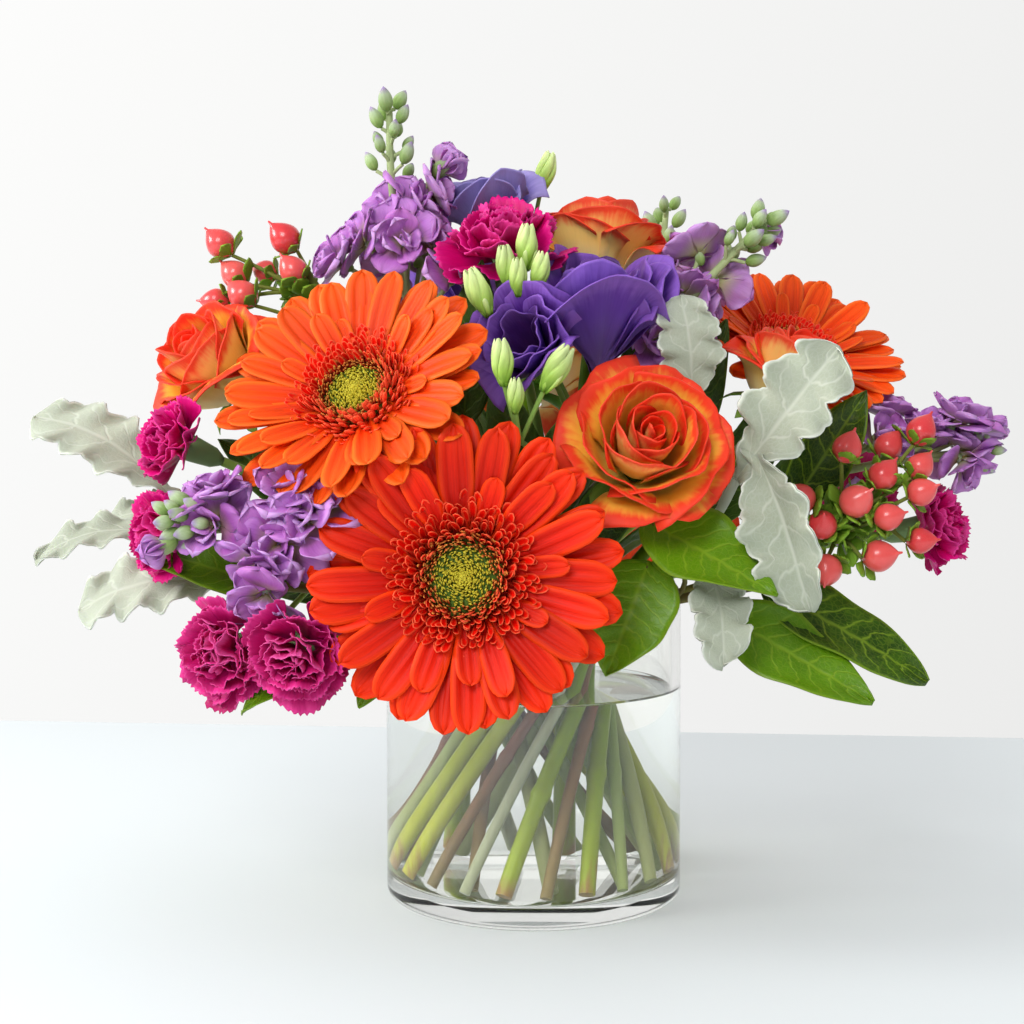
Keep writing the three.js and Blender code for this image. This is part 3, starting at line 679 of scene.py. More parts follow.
def gerbera(name, size, bowl, seed):
    """One head's five kinds of parts, each a list of (mesh, matrix); bowl lifts the rays, in degrees."""
    faces = GERBERAS[name][0]
    scale = size / GERBERA_SIZE
    centre = head_base(name + "_head", faces) + faces * CALYX_DEPTH
    here = stand(centre, faces, seed * 1.3, scale)
    step = 2 * math.pi / 21
    return {
        "rays": [(whorl(rays, 21, seed, (12 * MM,) * 2, (-1.0 * MM,) * 2, (bowl, bowl),
                        (1.02, 1.02), step, (3.5, 3, 6, 0.05)), here),
                 (whorl(rays, 20, seed + 1, (11 * MM,) * 2, (0.4 * MM,) * 2, (bowl + 5, bowl + 5),
                        (0.98, 0.98), 2 * math.pi / 20, (4, 3, 7, 0.05)), here),
                 (whorl(short_rays, 11, seed + 2, (15 * MM,) * 2, (1.6 * MM,) * 2, (bowl + 12, bowl + 12),
                        (1.0, 1.0), 2 * math.pi / 11, (13, 5, 10, 0.22)), here)],
        "fringe": [(whorl(fringe, 270, seed + 3, (23.5 * MM, 12.8 * MM), (1.6 * MM, 4.8 * MM), (20, 60),
                          (1.05, 0.78), GOLDEN_TURN, (5, 8, 20, 0.16)), here)],
        "stamens": [(whorl(stamens, 300, seed + 4, (15.2 * MM, 11.0 * MM), (5.2 * MM, 4.8 * MM), (52, 82),
                           (1.15, 0.8), GOLDEN_TURN, (6, 16, 40, 0.2)), here)],
        "eye": [(whorl(eye_buds, 560, seed + 5, (11.2 * MM, 0.3 * MM), (4.6 * MM, 5.4 * MM), (80, 90),
                       (1.0, 1.0), GOLDEN_TURN, (4, 10, 40, 0.15)), here)],
        "calyx": [(whorl(bracts, 34, seed + 6, (5.0 * MM, 8.5 * MM), (-13 * MM, -6 * MM), (-48, -20),
                         (0.9, 1.1), GOLDEN_TURN, (5, 6, 12, 0.1)), here)],
    }


HEADS = {"gerbera_front": (113 * MM, 4), "gerbera_left": (108 * MM, 12), "gerbera_right": (100 * MM, 14),
         "gerbera_back_right": (101 * MM, 9), "gerbera_back_left": (104 * MM, 11)}
ORANGE = {"gerbera_left", "gerbera_right", "gerbera_back_left"}
SKINS = {"rays": ray_skin, "fringe": fringe_skin, "stamens": stamen_skin, "eye": eye_skin,
         "calyx": calyx_skin}


def cup_profile():
    """The solid green cup under the rays, from the stem's end to the disc that carries the florets."""
    return [(0, -14.6 * MM), (3.6 * MM, -14.4 * MM), (6.5 * MM, -12 * MM), (10 * MM, -7 * MM),
            (13.4 * MM, -2 * MM), (15.5 * MM, 1.2 * MM), (14 * MM, 3.4 * MM), (9 * MM, 4.6 * MM),
            (0, 4.9 * MM)]


for count, (name, (size, bowl)) in enumerate(HEADS.items()):
    made = gerbera(name, size, bowl, 10 * count + 1)
    cup = turned(name + "_cup", cup_profile(), 24, calyx_skin)
    made["calyx"].append((cup.data, made["rays"][0][1]))
    for part, meshes in made.items():
        orange = part == "rays" and name in ORANGE
        skin = orange_ray_skin if orange else SKINS[part]
        finish_piece(assembled(f"{name}_{part}", meshes, skin), "gerbera_petals", name + "_head")
    bpy.data.objects.remove(cup)

# --- Roses --------------------------------------------------------------------------------------
# Two-coloured garden roses: a tight spiral heart inside broad cupped petals whose rims roll back,
# golden inside and coral red along every edge, set on a green hip with five sepals.


def petal_material(name, inside, outside, heart, streaks, roughness, sheen, through, rim=(0.78, 1.08),
                   reach=0.7):
    """A broad two-sided petal: (foot, blade, edge) colours inside and outside, and a heart colour.

    The heart colour tints petals whose shade is low, which are the innermost ones."""
    material, tree = new_material(name)
    where = add(tree, "ShaderNodeUVMap", uv_map="UVMap")
    split = add(tree, "ShaderNodeSeparateXYZ", {"Vector": where}).node
    back = add(tree, "ShaderNodeMath", {0: split.outputs["X"], 1: 1.5}, operation="GREATER_THAN")
    across = add(tree, "ShaderNodeMath", {0: back, 1: -2.0, 2: split.outputs["X"]},
                 operation="MULTIPLY_ADD")
    centred = add(tree, "ShaderNodeMath", {0: across, 1: 2.0, 2: -1.0}, operation="MULTIPLY_ADD")
    aside = add(tree, "ShaderNodeMath", {0: centred}, operation="ABSOLUTE")
    lines = add(tree, "ShaderNodeMapping", {"Vector": where, "Scale": (streaks[0], streaks[1], 1)})
    veins = add(tree, "ShaderNodeTexNoise", {"Vector": lines, "Scale": 1.0, "Detail": 3.0})
    patches = add(tree, "ShaderNodeTexNoise", {
        "Vector": add(tree, "ShaderNodeTexCoord").node.outputs["Object"], "Scale": 1 / (9 * MM)})
    wander = add(tree, "ShaderNodeMath", {0: patches, 1: 0.3, 2: -0.15}, operation="MULTIPLY_ADD")
    fray = add(tree, "ShaderNodeMath", {0: veins, 1: 0.2, 2: wander}, operation="MULTIPLY_ADD")
    corner = add(tree, "ShaderNodeMath", {0: aside, 1: 4.0}, operation="POWER")
    nearest = add(tree, "ShaderNodeMath", {0: corner, 1: 0.12, 2: split.outputs["Y"]},
                  operation="MULTIPLY_ADD")
    frayed = add(tree, "ShaderNodeMath", {0: nearest, 1: fray}, operation="ADD")
    edge = add(tree, "ShaderNodeMapRange", {
        "Value": frayed, "From Min": rim[0], "From Max": rim[1]}, interpolation_type="SMOOTHSTEP")
    rise = add(tree, "ShaderNodeMapRange", {
        "Value": split.outputs["Y"], "From Min": 0.1, "From Max": 0.6})
    faces = []
    for foot, blade, margin in (inside, outside):
        body = add(tree, "ShaderNodeMix", {
            "Factor": rise, "A": linear(foot), "B": linear(blade)}, data_type="RGBA")
        faces.append(add(tree, "ShaderNodeMix", {
            "Factor": edge, "A": body, "B": linear(margin)}, data_type="RGBA"))
    tone = add(tree, "ShaderNodeAttribute", attribute_name="shade").node.outputs["Fac"]
    depth = add(tree, "ShaderNodeMapRange", {
        "Value": tone, "From Min": 0.0, "From Max": 0.42, "To Min": reach, "To Max": 0.0})
    warm = add(tree, "ShaderNodeMix", {"Factor": depth, "A": faces[0], "B": linear(heart)},
               data_type="RGBA")
    both = add(tree, "ShaderNodeMix", {"Factor": back, "A": warm, "B": faces[1]}, data_type="RGBA")
    grain = add(tree, "ShaderNodeMath", {0: veins, 1: streaks[2], 2: 1 - streaks[2] / 2},
                operation="MULTIPLY_ADD")
    colour = add(tree, "ShaderNodeHueSaturation", {"Color": both, "Value": grain})
    relief = add(tree, "ShaderNodeBump", {"Height": veins, "Strength": 0.25, "Distance": 0.3 * MM})
    skin = add(tree, "ShaderNodeBsdfPrincipled", {
        "Base Color": colour, "Roughness": roughness, "IOR": 1.4, "Normal": relief,
        "Specular IOR Level": 0.3, "Sheen Weight": sheen, "Sheen Roughness": 0.4,
        "Subsurface Weight": through,
        "Subsurface Radius": (1.0, 0.45, 0.3), "Subsurface Scale": 0.8 * MM})
    add(tree, "ShaderNodeOutputMaterial", {"Surface": skin})
    return material


def cup_petal(name, turn, span, radius, height, roll, tuck, ripple, rng, foot=0.18, corner=0.2,
              bowl=0.8, pleat=0.0, columns=17, rows=14):
    """A petal wrapped round +Z: span wide, radius out, its rim rolled back by roll.

    ripple waves its rim and pleat creases it lengthwise."""
    phase = rng.uniform(0, 6)
    lean = rng.uniform(-0.06, 0.06)
    point = rng.uniform(0.0, 0.12)

    def surface(u, v):
        wide = 0.5 * span * (0.42 + 0.58 * smooth(v / 0.45)) * (1 - 0.25 * np.clip(v - 0.8, 0, 1))
        angle = turn - u * wide
        rolled = np.clip((v - 0.55) / 0.45, 0, 1)
        hem = rolled ** 1.7 * (1 + 0.5 * u ** 2)
        wave = ripple * np.sin(5.5 * u + phase) * v ** 3 + 0.5 * ripple * np.sin(11 * u - phase) * v ** 5
        out = radius * (foot + (1 - foot) * np.sin(0.5 * math.pi * np.minimum(1.15 * v, 1)) ** bowl)
        creases = pleat * np.sin(8 * u + 2 * v + phase) * np.sin(0.8 * math.pi * v)
        out = out + roll * hem + tuck * u * radius * smooth(v * 1.6) + wave + creases
        top = 1 - corner * np.abs(u) ** 2.6 + point * (1 - np.abs(u)) + lean * u
        up = height * v * top - 0.62 * roll * hem * rolled
        return out * np.cos(angle), out * np.sin(angle), up
    return shell(name, surface, columns, rows, 0.5 * MM)


def shaded(mesh, value):
    """Stores one shade on a whole petal."""
    layer = mesh.attributes.new("shade", "FLOAT", "POINT")
    layer.data.foreach_set("value", np.full(len(mesh.vertices), value, np.float32))
    return mesh


def rose_petals(radius, seed, openness):
    """Every petal of one rose from the heart outwards, for a bloom of the given radius."""
    rng = np.random.default_rng(seed)
    petals = []
    count = 23
    for k in range(count):
        share = k / (count - 1)
        span = math.radians(np.interp(share, [0, 0.25, 0.6, 1], [230, 175, 140, 118]))
        out = radius * np.interp(share, [0, 0.3, 0.7, 1], [0.07, 0.34, 0.66 * openness, 0.78 * openness])
        tall = radius * np.interp(share, [0, 0.35, 0.75, 1], [1.16, 1.28, 1.12, 0.92])
        roll = radius * np.interp(share, [0, 0.35, 0.7, 1], [0, 0.03, 0.14, 0.36]) * openness
        tuck = np.interp(share, [0, 0.4, 1], [0.16, 0.11, 0.07])
        ripple = radius * np.interp(share, [0, 0.5, 1], [0.006, 0.022, 0.055])
        mesh = cup_petal("rose_petal", k * 2.35 + rng.uniform(-0.16, 0.16), span,
                         out * rng.uniform(0.96, 1.04), tall * rng.uniform(0.95, 1.03),
                         roll * rng.uniform(0.6, 1.35), tuck, ripple, rng, pleat=0.3 * ripple)
        petals.append(shaded(mesh, share))
    return petals


def hip_profile(radius):
    """The green hip under a bloom, its top inside the petals' feet."""
    return [(0, -0.16 * radius), (0.10 * radius, -0.155 * radius), (0.2 * radius, -0.06 * radius),
            (0.23 * radius, 0.06 * radius), (0.16 * radius, 0.16 * radius), (0, 0.2 * radius)]


rng = np.random.default_rng(23)
sepals = kit("sepals", [floret_petal("sepal", 20 * MM, 6 * MM, -1.3, rng) for _ in range(3)])
# Rose petals are velvety: a broad dull highlight, with light glowing warm through them.
rose_skin = petal_material("rose_petal", ("FEE88A", "FEC44A", "EC3E22"), ("FDE8B4", "FBCC74", "EA5034"),
                           "FF2806", (30, 3, 0.14), 0.5, 0.0, 0.3, (0.82, 1.06))
# Hip and sepals are plain half-matte green, darker towards the foot.
hip_skin = plant_material("rose_hip_and_sepals", ["4E7A26", "5E8A2E", "7A9A3E"], [0.0, 0.5, 1.0],
                          (8, 3, 0.3), 0.5)
ROSE_HEADS = {"rose_front": (62 * MM, 1.0, 3.6), "rose_left": (58 * MM, 0.9, 0.4),
              "rose_right": (55 * MM, 0.85, 1.9), "rose_top": (58 * MM, 1.0, 5.0),
              "rose_back": (60 * MM, 1.0, 2.2)}
for count, (name, (size, openness, spin)) in enumerate(ROSE_HEADS.items()):
    faces = ROSES[name][0]
    radius = size / 2
    base = head_base(name + "_head", faces)
    here = stand(base + faces * 0.16 * radius, faces, spin)
    blooms = assembled(name + "_petals", [(m, here) for m in rose_petals(radius, 40 + count, openness)],
                       rose_skin)
    finish_piece(blooms, "rose_petals", name + "_head")
    hip = turned(name + "_hip_core", hip_profile(radius), 20, hip_skin)
    collar = whorl(sepals, 5, 60 + count, (0.16 * radius,) * 2, (0.02 * radius,) * 2, (10, 10), (1, 1),
                   2 * math.pi / 5, (6, 8, 10, 0.15))
    green = assembled(name + "_hip", [(hip.data, here), (collar, here)], hip_skin)
    bpy.data.objects.remove(hip)
    finish_piece(green, "flower_stems", name + "_head")

# --- Lisianthus ---------------------------------------------------------------------------------
# Branching sprays of satin bells, deep violet-blue with a dark throat, one pale lavender, and
# twisted green-white buds on thin stalks.

SPRAYS = {
    "carnation_left": ("carnation", OUTER_RING, 2, [
        (unit(-0.75, -0.5, 0.35), None), (unit(-0.85, -0.5, -0.1), 0.72),
        (unit(-0.5, -0.8, -0.15), 0.62), (unit(-0.15, -0.95, -0.2), 0.6)]),
    "carnation_top": ("carnation", INNER_RING, 1, [(unit(-0.1, -0.5, 0.85), None)]),
    "carnation_right": ("carnation", OUTER_RING, 12, [
        (unit(0.8, -0.5, 0.2), None), (unit(0.75, 0.6, 0.2), 0.7)]),
    "carnation_back": ("carnation", OUTER_RING, 19, [(unit(-0.8, 0.55, 0.25), None)]),
    "lisianthus_front": ("lisianthus", INNER_RING, 2, [
        (unit(0.05, -0.35, 0.95), None), (unit(-0.35, -0.85, 0.35), 0.78)]),
    "lisianthus_back": ("lisianthus", INNER_RING, 7, [
        (unit(-0.2, -0.3, 0.95), None), (unit(-0.35, 0.5, 0.8), 0.75)])}
# Lisianthus bud clusters: their spray, how far up they branch off, the fork, and each bud's place,
# way and size.
BUDS = [("lisianthus_front", 0.80, place(-9, -38, 240), [
            (place(-4, -50, 260), unit(0.05, -0.1, 1), 1.1),
            (place(-10, -54, 252), unit(-0.15, -0.2, 1), 1.05),
            (place(0, -56, 251), unit(0.2, -0.2, 1), 0.95),
            (place(-7, -58, 249), unit(0, -0.35, 1), 0.9),
            (place(-18, -60, 241), unit(-0.4, -0.2, 0.9), 1.2)]),
        ("lisianthus_front", 0.62, place(-6, -84, 192), [
            (place(-12, -93, 212), unit(-0.1, -0.1, 1), 1.05),
            (place(-8, -94, 202), unit(0.0, -0.3, 1), 0.8),
            (place(2, -94, 210), unit(0.5, -0.1, 0.85), 1.15)]),
        ("lisianthus_back", 0.85, place(1, 8, 292), [(place(3, 10, 302), unit(0.25, 0, 1), 1.1)])]


def spray_stem(name):
    """The main stem's route and the routes of its branches to each further head."""
    kind, ring, slot, heads = SPRAYS[name]
    ends = [head_base(f"{name}_head_{k + 1}", faces) - faces * GLASS_GAP
            for k, (faces, _) in enumerate(heads)]
    main = stem_route(ring, slot, THICKNESS[kind], ends[0], heads[0][0])
    sides = [branch_route(main, start, end) for (_, start), end in zip(heads[1:], ends[1:])]
    return main, sides


def spray_routes(name):
    """Every tube of one spray: (points, radii) for the main stem and its branches."""
    main, sides = spray_stem(name)
    kind = SPRAYS[name][0]
    path = dense(main, 90)
    joints = [0.2, 0.45, 0.66] if kind == "carnation" else [0.5]
    tubes = [(path, stem_radii(90, THICKNESS[kind], joints))]
    for side in sides:
        tubes.append((dense(side, 24), np.linspace(0.55, 0.42, 24) * THICKNESS["branch"]))
    return tubes


def bud(name):
    """A furled bud: five petal edges wound round a plump spindle, their points just parting."""
    def surface(u, v):
        swell = 4.4 * MM * np.sin(math.pi * (0.03 + 0.86 * v)) ** 0.75
        wound = u * math.pi + 1.3 * v
        edge = np.abs(np.cos(2.5 * u * math.pi))
        fold = 1 + 0.3 * (edge ** 0.6 - 0.6) * smooth(v * 1.4)
        up = 19 * MM * v + 3.2 * MM * (edge - 0.5) * smooth((v - 0.7) / 0.3)
        return swell * fold * np.cos(wound), swell * fold * np.sin(wound), up
    return shell(name, surface, 51, 16, 0.4 * MM)


def lisianthus_petals(radius, seed, bell):
    """A bell's petals from the throat outwards; bell is 0 for a cup and 1 for a long flared bell."""
    rng = np.random.default_rng(seed)
    petals = []
    for k in range(14):
        share = k / 13
        span = math.radians(np.interp(share, [0, 1], [150, 98]))
        out = radius * np.interp(share, [0, 0.4, 1], [0.34, 0.55, 0.8])
        tall = radius * np.interp(share, [0, 1], [1.35, 1.6]) * (1 + 0.25 * bell)
        roll = radius * np.interp(share, [0, 0.5, 1], [0.05, 0.14, 0.34])
        mesh = cup_petal("lisianthus_petal", k * 2.2 + rng.uniform(-0.2, 0.2), span, out, tall,
                         roll * rng.uniform(0.6, 1.4), 0.12, radius * 0.06, rng, foot=0.12,
                         corner=0.3, bowl=0.9 + 0.9 * bell, pleat=radius * 0.022)
        petals.append(shaded(mesh, share))
    return petals


# Satin petals with a broad soft highlight and faint veins; the throat is nearly black violet.
violet_skin = petal_material("lisianthus_petal", ("2A1034", "603096", "8A5CBE"),
                             ("7A5AA6", "6440A4", "8A62C2"), "34143E", (34, 3, 0.3), 0.38, 0.0, 0.08)
# The pale bloom has the same satin, washed out towards a cool lavender.
lavender_skin = petal_material("pale_lisianthus_petal", ("60509C", "8274BC", "9C8ECC"),
                               ("A89ECC", "8C80C0", "968AC8"), "443470", (34, 3, 0.25), 0.42, 0.0, 0.06)
# Furled buds are waxy, with streaks that run from leaf green to a creamy green at the tip.
bud_skin = plant_material("lisianthus_bud", ["5E8A22", "98BA4C", "BCD27E", "D0DEA0"],
                          [0.0, 0.35, 0.7, 1.0], (14, 3, 0.6), 0.45, 0.0, 0.05)
# Branches are smooth, fresh and half matte, with the faintest lengthwise ribs.
green_branch_skin = plant_material("green_branch", ["A0AE6A", "8BA64E", "86A850"], [0.05, 0.35, 0.8],
                                   (RIBS_ACROSS, RIBS_ALONG, 0.4), 0.5, by="Object")
BELLS = [("lisianthus_front_head_1", 0, 28 * MM, 0.7, violet_skin, 1.4),
         ("lisianthus_front_head_2", 1, 21 * MM, 0.15, violet_skin, 0.3),
         ("lisianthus_back_head_1", 0, 20 * MM, 0.2, lavender_skin, 2.1),
         ("lisianthus_back_head_2", 1, 24 * MM, 0.4, violet_skin, 0.9)]
for count, (node, which, radius, bell, skin, spin) in enumerate(BELLS):
    faces = SPRAYS[node[:node.index("_head")]][3][which][0]
    here = stand(head_base(node, faces), faces, spin)
    piece = assembled(node + "_petals", [(m, here) for m in lisianthus_petals(radius, 70 + count, bell)],
                      skin)
    finish_piece(piece, "lavender_petals" if skin is lavender_skin else "lisianthus_petals", node)
rng = np.random.default_rng(31)
bud_shape = bud("bud")
bud_sepals = kit("bud_sepals", [floret_petal("bud_sepal", 9 * MM, 2.2 * MM, 0.5, rng) for _ in range(3)])
routes = spray_routes("lisianthus_front") + spray_routes("lisianthus_back")
parts = []
for name, start, fork, cluster in BUDS:
    stalk = branch_route(spray_stem(name)[0], start, fork)
    routes.append((dense(stalk, 24), np.linspace(0.5, 0.42, 24) * THICKNESS["branch"]))
    for at, faces, size in cluster:
        here = stand(at, faces, rng.uniform(0, 6), 0.82 * size)
        ruff = whorl(bud_sepals, 5, len(parts), (1.6 * MM,) * 2, (0, 0), (62, 66), (1, 1),
                     2 * math.pi / 5, (6, 8, 8, 0.15))
        parts += [(shaded(bud_shape.copy(), rng.uniform(0, 1)), here), (ruff, here)]
        last = bezier([fork, fork.lerp(at, 0.5) - faces * 2 * MM, at + faces * 0.5 * MM], 10)
        routes.append((last, np.full(11, 0.36 * THICKNESS["branch"])))
bud_piece = assembled("lisianthus_buds", parts, bud_skin)
finish_piece(bud_piece, "flower_stems", "lisianthus_front_stem", "lisianthus_back_stem")
piece = swept_piece("lisianthus_stems", routes, green_branch_skin)
finish_piece(piece, "flower_stems", "lisianthus_front_stem", "lisianthus_back_stem")

# --- Carnations ---------------------------------------------------------------------------------
# Spray carnations: a ball of fan-shaped, ruffled and toothed magenta petals bursting from a slim
# green cup, on jointed grey-green stems.


def fan_petal(name, length, width, ruffle, rng):
    """A fan with a narrow claw, deep ruffles growing to a toothed edge."""
    phase = rng.uniform(0, 6)
    teeth = rng.integers(9, 12)

    def surface(u, v):
        wide = width / 2 * (0.10 + 0.90 * smooth((v - 0.1) / 0.75) ** 0.9)
        angle = u * 0.62
        edge = 1 + 0.035 * np.cos(teeth * math.pi * u) * smooth((v - 0.75) / 0.25) - 0.12 * u ** 2 * v
        y = length * v * np.cos(angle * v) * edge
        grow = smooth((v - 0.3) / 0.7)
        z = ruffle * grow * (np.sin(3.3 * u + phase) + 0.45 * np.sin(8 * u - 1.7 * phase))
        z = z + 0.16 * length * v ** 2
        return u * wide, y, z
    return shell(name, surface, 29, 8, 0.35 * MM)


rng = np.random.default_rng(47)
fans = kit("fans", [fan_petal("fan", 20.5 * MM, 23 * MM, 2.1 * MM, rng) for _ in range(7)])
# Carnation petals are thin satin: strong magenta, paler outside, and darkest down in the folds,
# where each petal's foot carries painted shade.
magenta_skin = petal_material("carnation_petal", ("84003E", "C80068", "DA107E"),
                              ("7E0440", "BE0060", "DC3A90"), "A8005A", (30, 3, 0.2), 0.45, 0.0, 0.06)
# Two heads have a cooler, pinker magenta, so that the cluster is not all one colour; their petals'
# feet carry the same painted shade.
dark_magenta_skin = petal_material("deep_carnation_petal", ("84003E", "C61470", "D83488"),
                                   ("840A44", "B80E5E", "D85096"), "A40650", (30, 3, 0.2), 0.45, 0.0, 0.05)
# The cup is smooth, with the dull grey-green bloom of a waxy leaf.
cup_skin = plant_material("carnation_cup", ["6E8A5A", "7E9A62", "8AA66A"], [0.0, 0.5, 1.0],
                          (10, 2, 0.2), 0.5)
PUFFS = {"carnation_left": [36, 36, 40, 40], "carnation_top": [49], "carnation_right": [40, 40],
         "carnation_back": [44]}
CARNATION_SIZE = 46 * MM
DEEP = {("carnation_left", 2), ("carnation_left", 3)}


def claw_profile(depth):
    """The slim green cup that holds the petals, from the stem's end up."""
    return [(0, -depth), (2.2 * MM, -depth + 0.3 * MM), (4.2 * MM, -depth + 4 * MM),
            (5.2 * MM, -depth + 12 * MM), (5.6 * MM, -6 * MM), (4.4 * MM, -5 * MM), (0, -5.4 * MM)]


seed = 90
for name, sizes in PUFFS.items():
    for k, size in enumerate(sizes):
        node = f"{name}_head_{k + 1}"
        faces = SPRAYS[name][3][k][0]
        scale = size * MM / CARNATION_SIZE
        depth = 0.65 * size * MM
        here = stand(head_base(node, faces) + faces * depth, faces, seed, 1)
        petals = whorl(fans, 30, seed, (1.2 * MM * scale, 4.5 * MM * scale),
                       (-6 * MM * scale, -9 * MM * scale), (86, 4), (0.84 * scale, 1.08 * scale),
                       GOLDEN_TURN, (16, 12, 30, 0.12))
        skin = dark_magenta_skin if (name, k) in DEEP else magenta_skin
        finish_piece(assembled(node + "_petals", [(petals, here)], skin), "carnation_petals", node)
        cup = turned(node + "_core", claw_profile(depth), 16, cup_skin)
        finish_piece(assembled(node + "_cup", [(cup.data, here)], cup_skin), "flower_stems", node)
        bpy.data.objects.remove(cup)
        seed += 1
routes = [tube for name in PUFFS for tube in spray_routes(name)]
piece = swept_piece("carnation_stems", routes, green_branch_skin)
finish_piece(piece, "flower_stems", *[name + "_stem" for name in PUFFS])

# --- Stock --------------------------------------------------------------------------------------
# Spikes of double lilac florets, each a loose rosette of broad waved petals on a short stalk, with
# felted green buds still closed at the tip of the thick pale stem.


def broad_petal(name, length, width, wave, droop, rng, columns=9, rows=8):
    """A petal with a narrow claw and a broad round blade that waves at its margin."""
    phase = rng.uniform(0, 6)
    cup = rng.uniform(-0.15, 0.15)

    def surface(u, v):
        half = width / 2 * (0.14 + 0.86 * smooth((v - 0.05) / 0.6)) * round_tip(v, 0.62)
        grow = smooth((v - 0.25) / 0.6)
        y = length * v * (1 - 0.05 * np.cos(2 * math.pi * u) * grow)
        ripple = np.sin(3.4 * u + phase) * np.abs(u) + 0.5 * np.sin(6.5 * u + 2 * phase) * v
        z = wave * grow * ripple + length * (0.22 * v - droop * v ** 2) + cup * half * u ** 2
        return u * half, y, z
    return shell(name, surface, columns, rows, 0.4 * MM)


def ovoid(name, length, width, beak, sides, material):
    """An egg on its base, with a beak this long at its tip."""
    steps = np.linspace(0, 1, 12)[1:-1]
    body = [(width / 2 * math.sin(math.pi * s ** 0.85) ** 0.72, length * s) for s in steps]
    tip = [(0.055 * width, length), (0.03 * width, length + beak)] if beak else []
    return turned(name, [(0, 0), *body, *tip, (0, length + beak + 0.1 * MM)], sides, material)


def share_near(route, point):
    """How far along a route the point nearest to a place lies, from 0 to 1."""
    gaps = np.linalg.norm(route - np.array(point), axis=1)
    return float(np.argmin(gaps)) / (len(route) - 1)


def outward(route, point, lift):
    """The way a floret faces: away from its stem, lifted towards the stem's own direction."""
    k = round(share_near(route, point) * (len(route) - 1))
    away = (Vector(point) - Vector(route[k])).normalized()
    along = Vector(route[min(k + 1, len(route) - 1)] - route[k - 1]).normalized()
    return (away + lift * along).normalized()


# Where each spike stands, how its tip faces, its florets, its tip buds and its half-open bud.
STOCK = {
    "stock_top_left": (INNER_RING, 0, (-61, -10, 332), (0.02, -0.02, 1), [
        (-76, -12, 278), (-62, -10, 290), (-46, -10, 292), (-38, -16, 276), (-62, 6, 270),
        (-46, 10, 276), (-86, -12, 270), (-30, -22, 264), (-54, -24, 277), (-38, -8, 299)],
        (14, 26), [(-37, -8, 311)]),
    "stock_top_right": (INNER_RING, 3, (97, -10, 286), (0.7, 0, 0.7), [
        (49, -12, 262), (62, -14, 260), (56, -14, 247), (71, -10, 248), (69, -6, 278),
        (80, -2, 262), (52, -22, 236), (66, -16, 234)], (14, 24), [(99, -6, 282)]),
    "stock_left": (OUTER_RING, 4, (-134, -88, 163), (-0.9, -0.3, 0.1), [
        (-121, -86, 175), (-120, -92, 162), (-92, -92, 176), (-86, -98, 164), (-102, -94, 144),
        (-102, -92, 132), (-96, -96, 154), (-80, -94, 170)], (15, 20), [(-140, -92, 152)]),
    "stock_right": (OUTER_RING, 13, (194, 0, 190), (0.9, 0, 0.1), [
        (156, 2, 208), (171, -4, 201), (186, -2, 194), (192, 0, 204), (166, 8, 194), (180, -6, 206),
        (148, -10, 196), (186, -6, 182), (132, -8, 160)], (5, 14), []),
    "stock_back": (INNER_RING, 5, (64, 66, 304), (0.1, 0.15, 1), [
        (54, 54, 254), (74, 60, 256), (58, 72, 266), (66, 66, 280)], (8, 24), [])}

rng = np.random.default_rng(61)
stock_petals = kit("stock_petals", [
    broad_petal("stock_petal", 17.5 * MM, 18.5 * MM, 1.2 * MM, 0.16, rng) for _ in range(6)])
# Stock petals are thin and silky: lilac, paler at the edge, light shining through them.
stock_skin = petal_material("stock_petal", ("B8B068", "A658B4", "C084CC"), ("B0AC7C", "B078BE", "C494D0"),
                            "AA4AA4", (26, 3, 0.3), 0.45, 0.0, 0.15, (0.5, 1.0), 0.5)
# The thick stem is pale and nearly matte, greener in the middle of its length.
stock_stem_skin = plant_material("stock_stem", ["A8AE74", "93A45C", "B4C48C"], [0.05, 0.4, 0.9],
                                 (RIBS_ACROSS, RIBS_ALONG, 0.4), 0.55, by="Object")
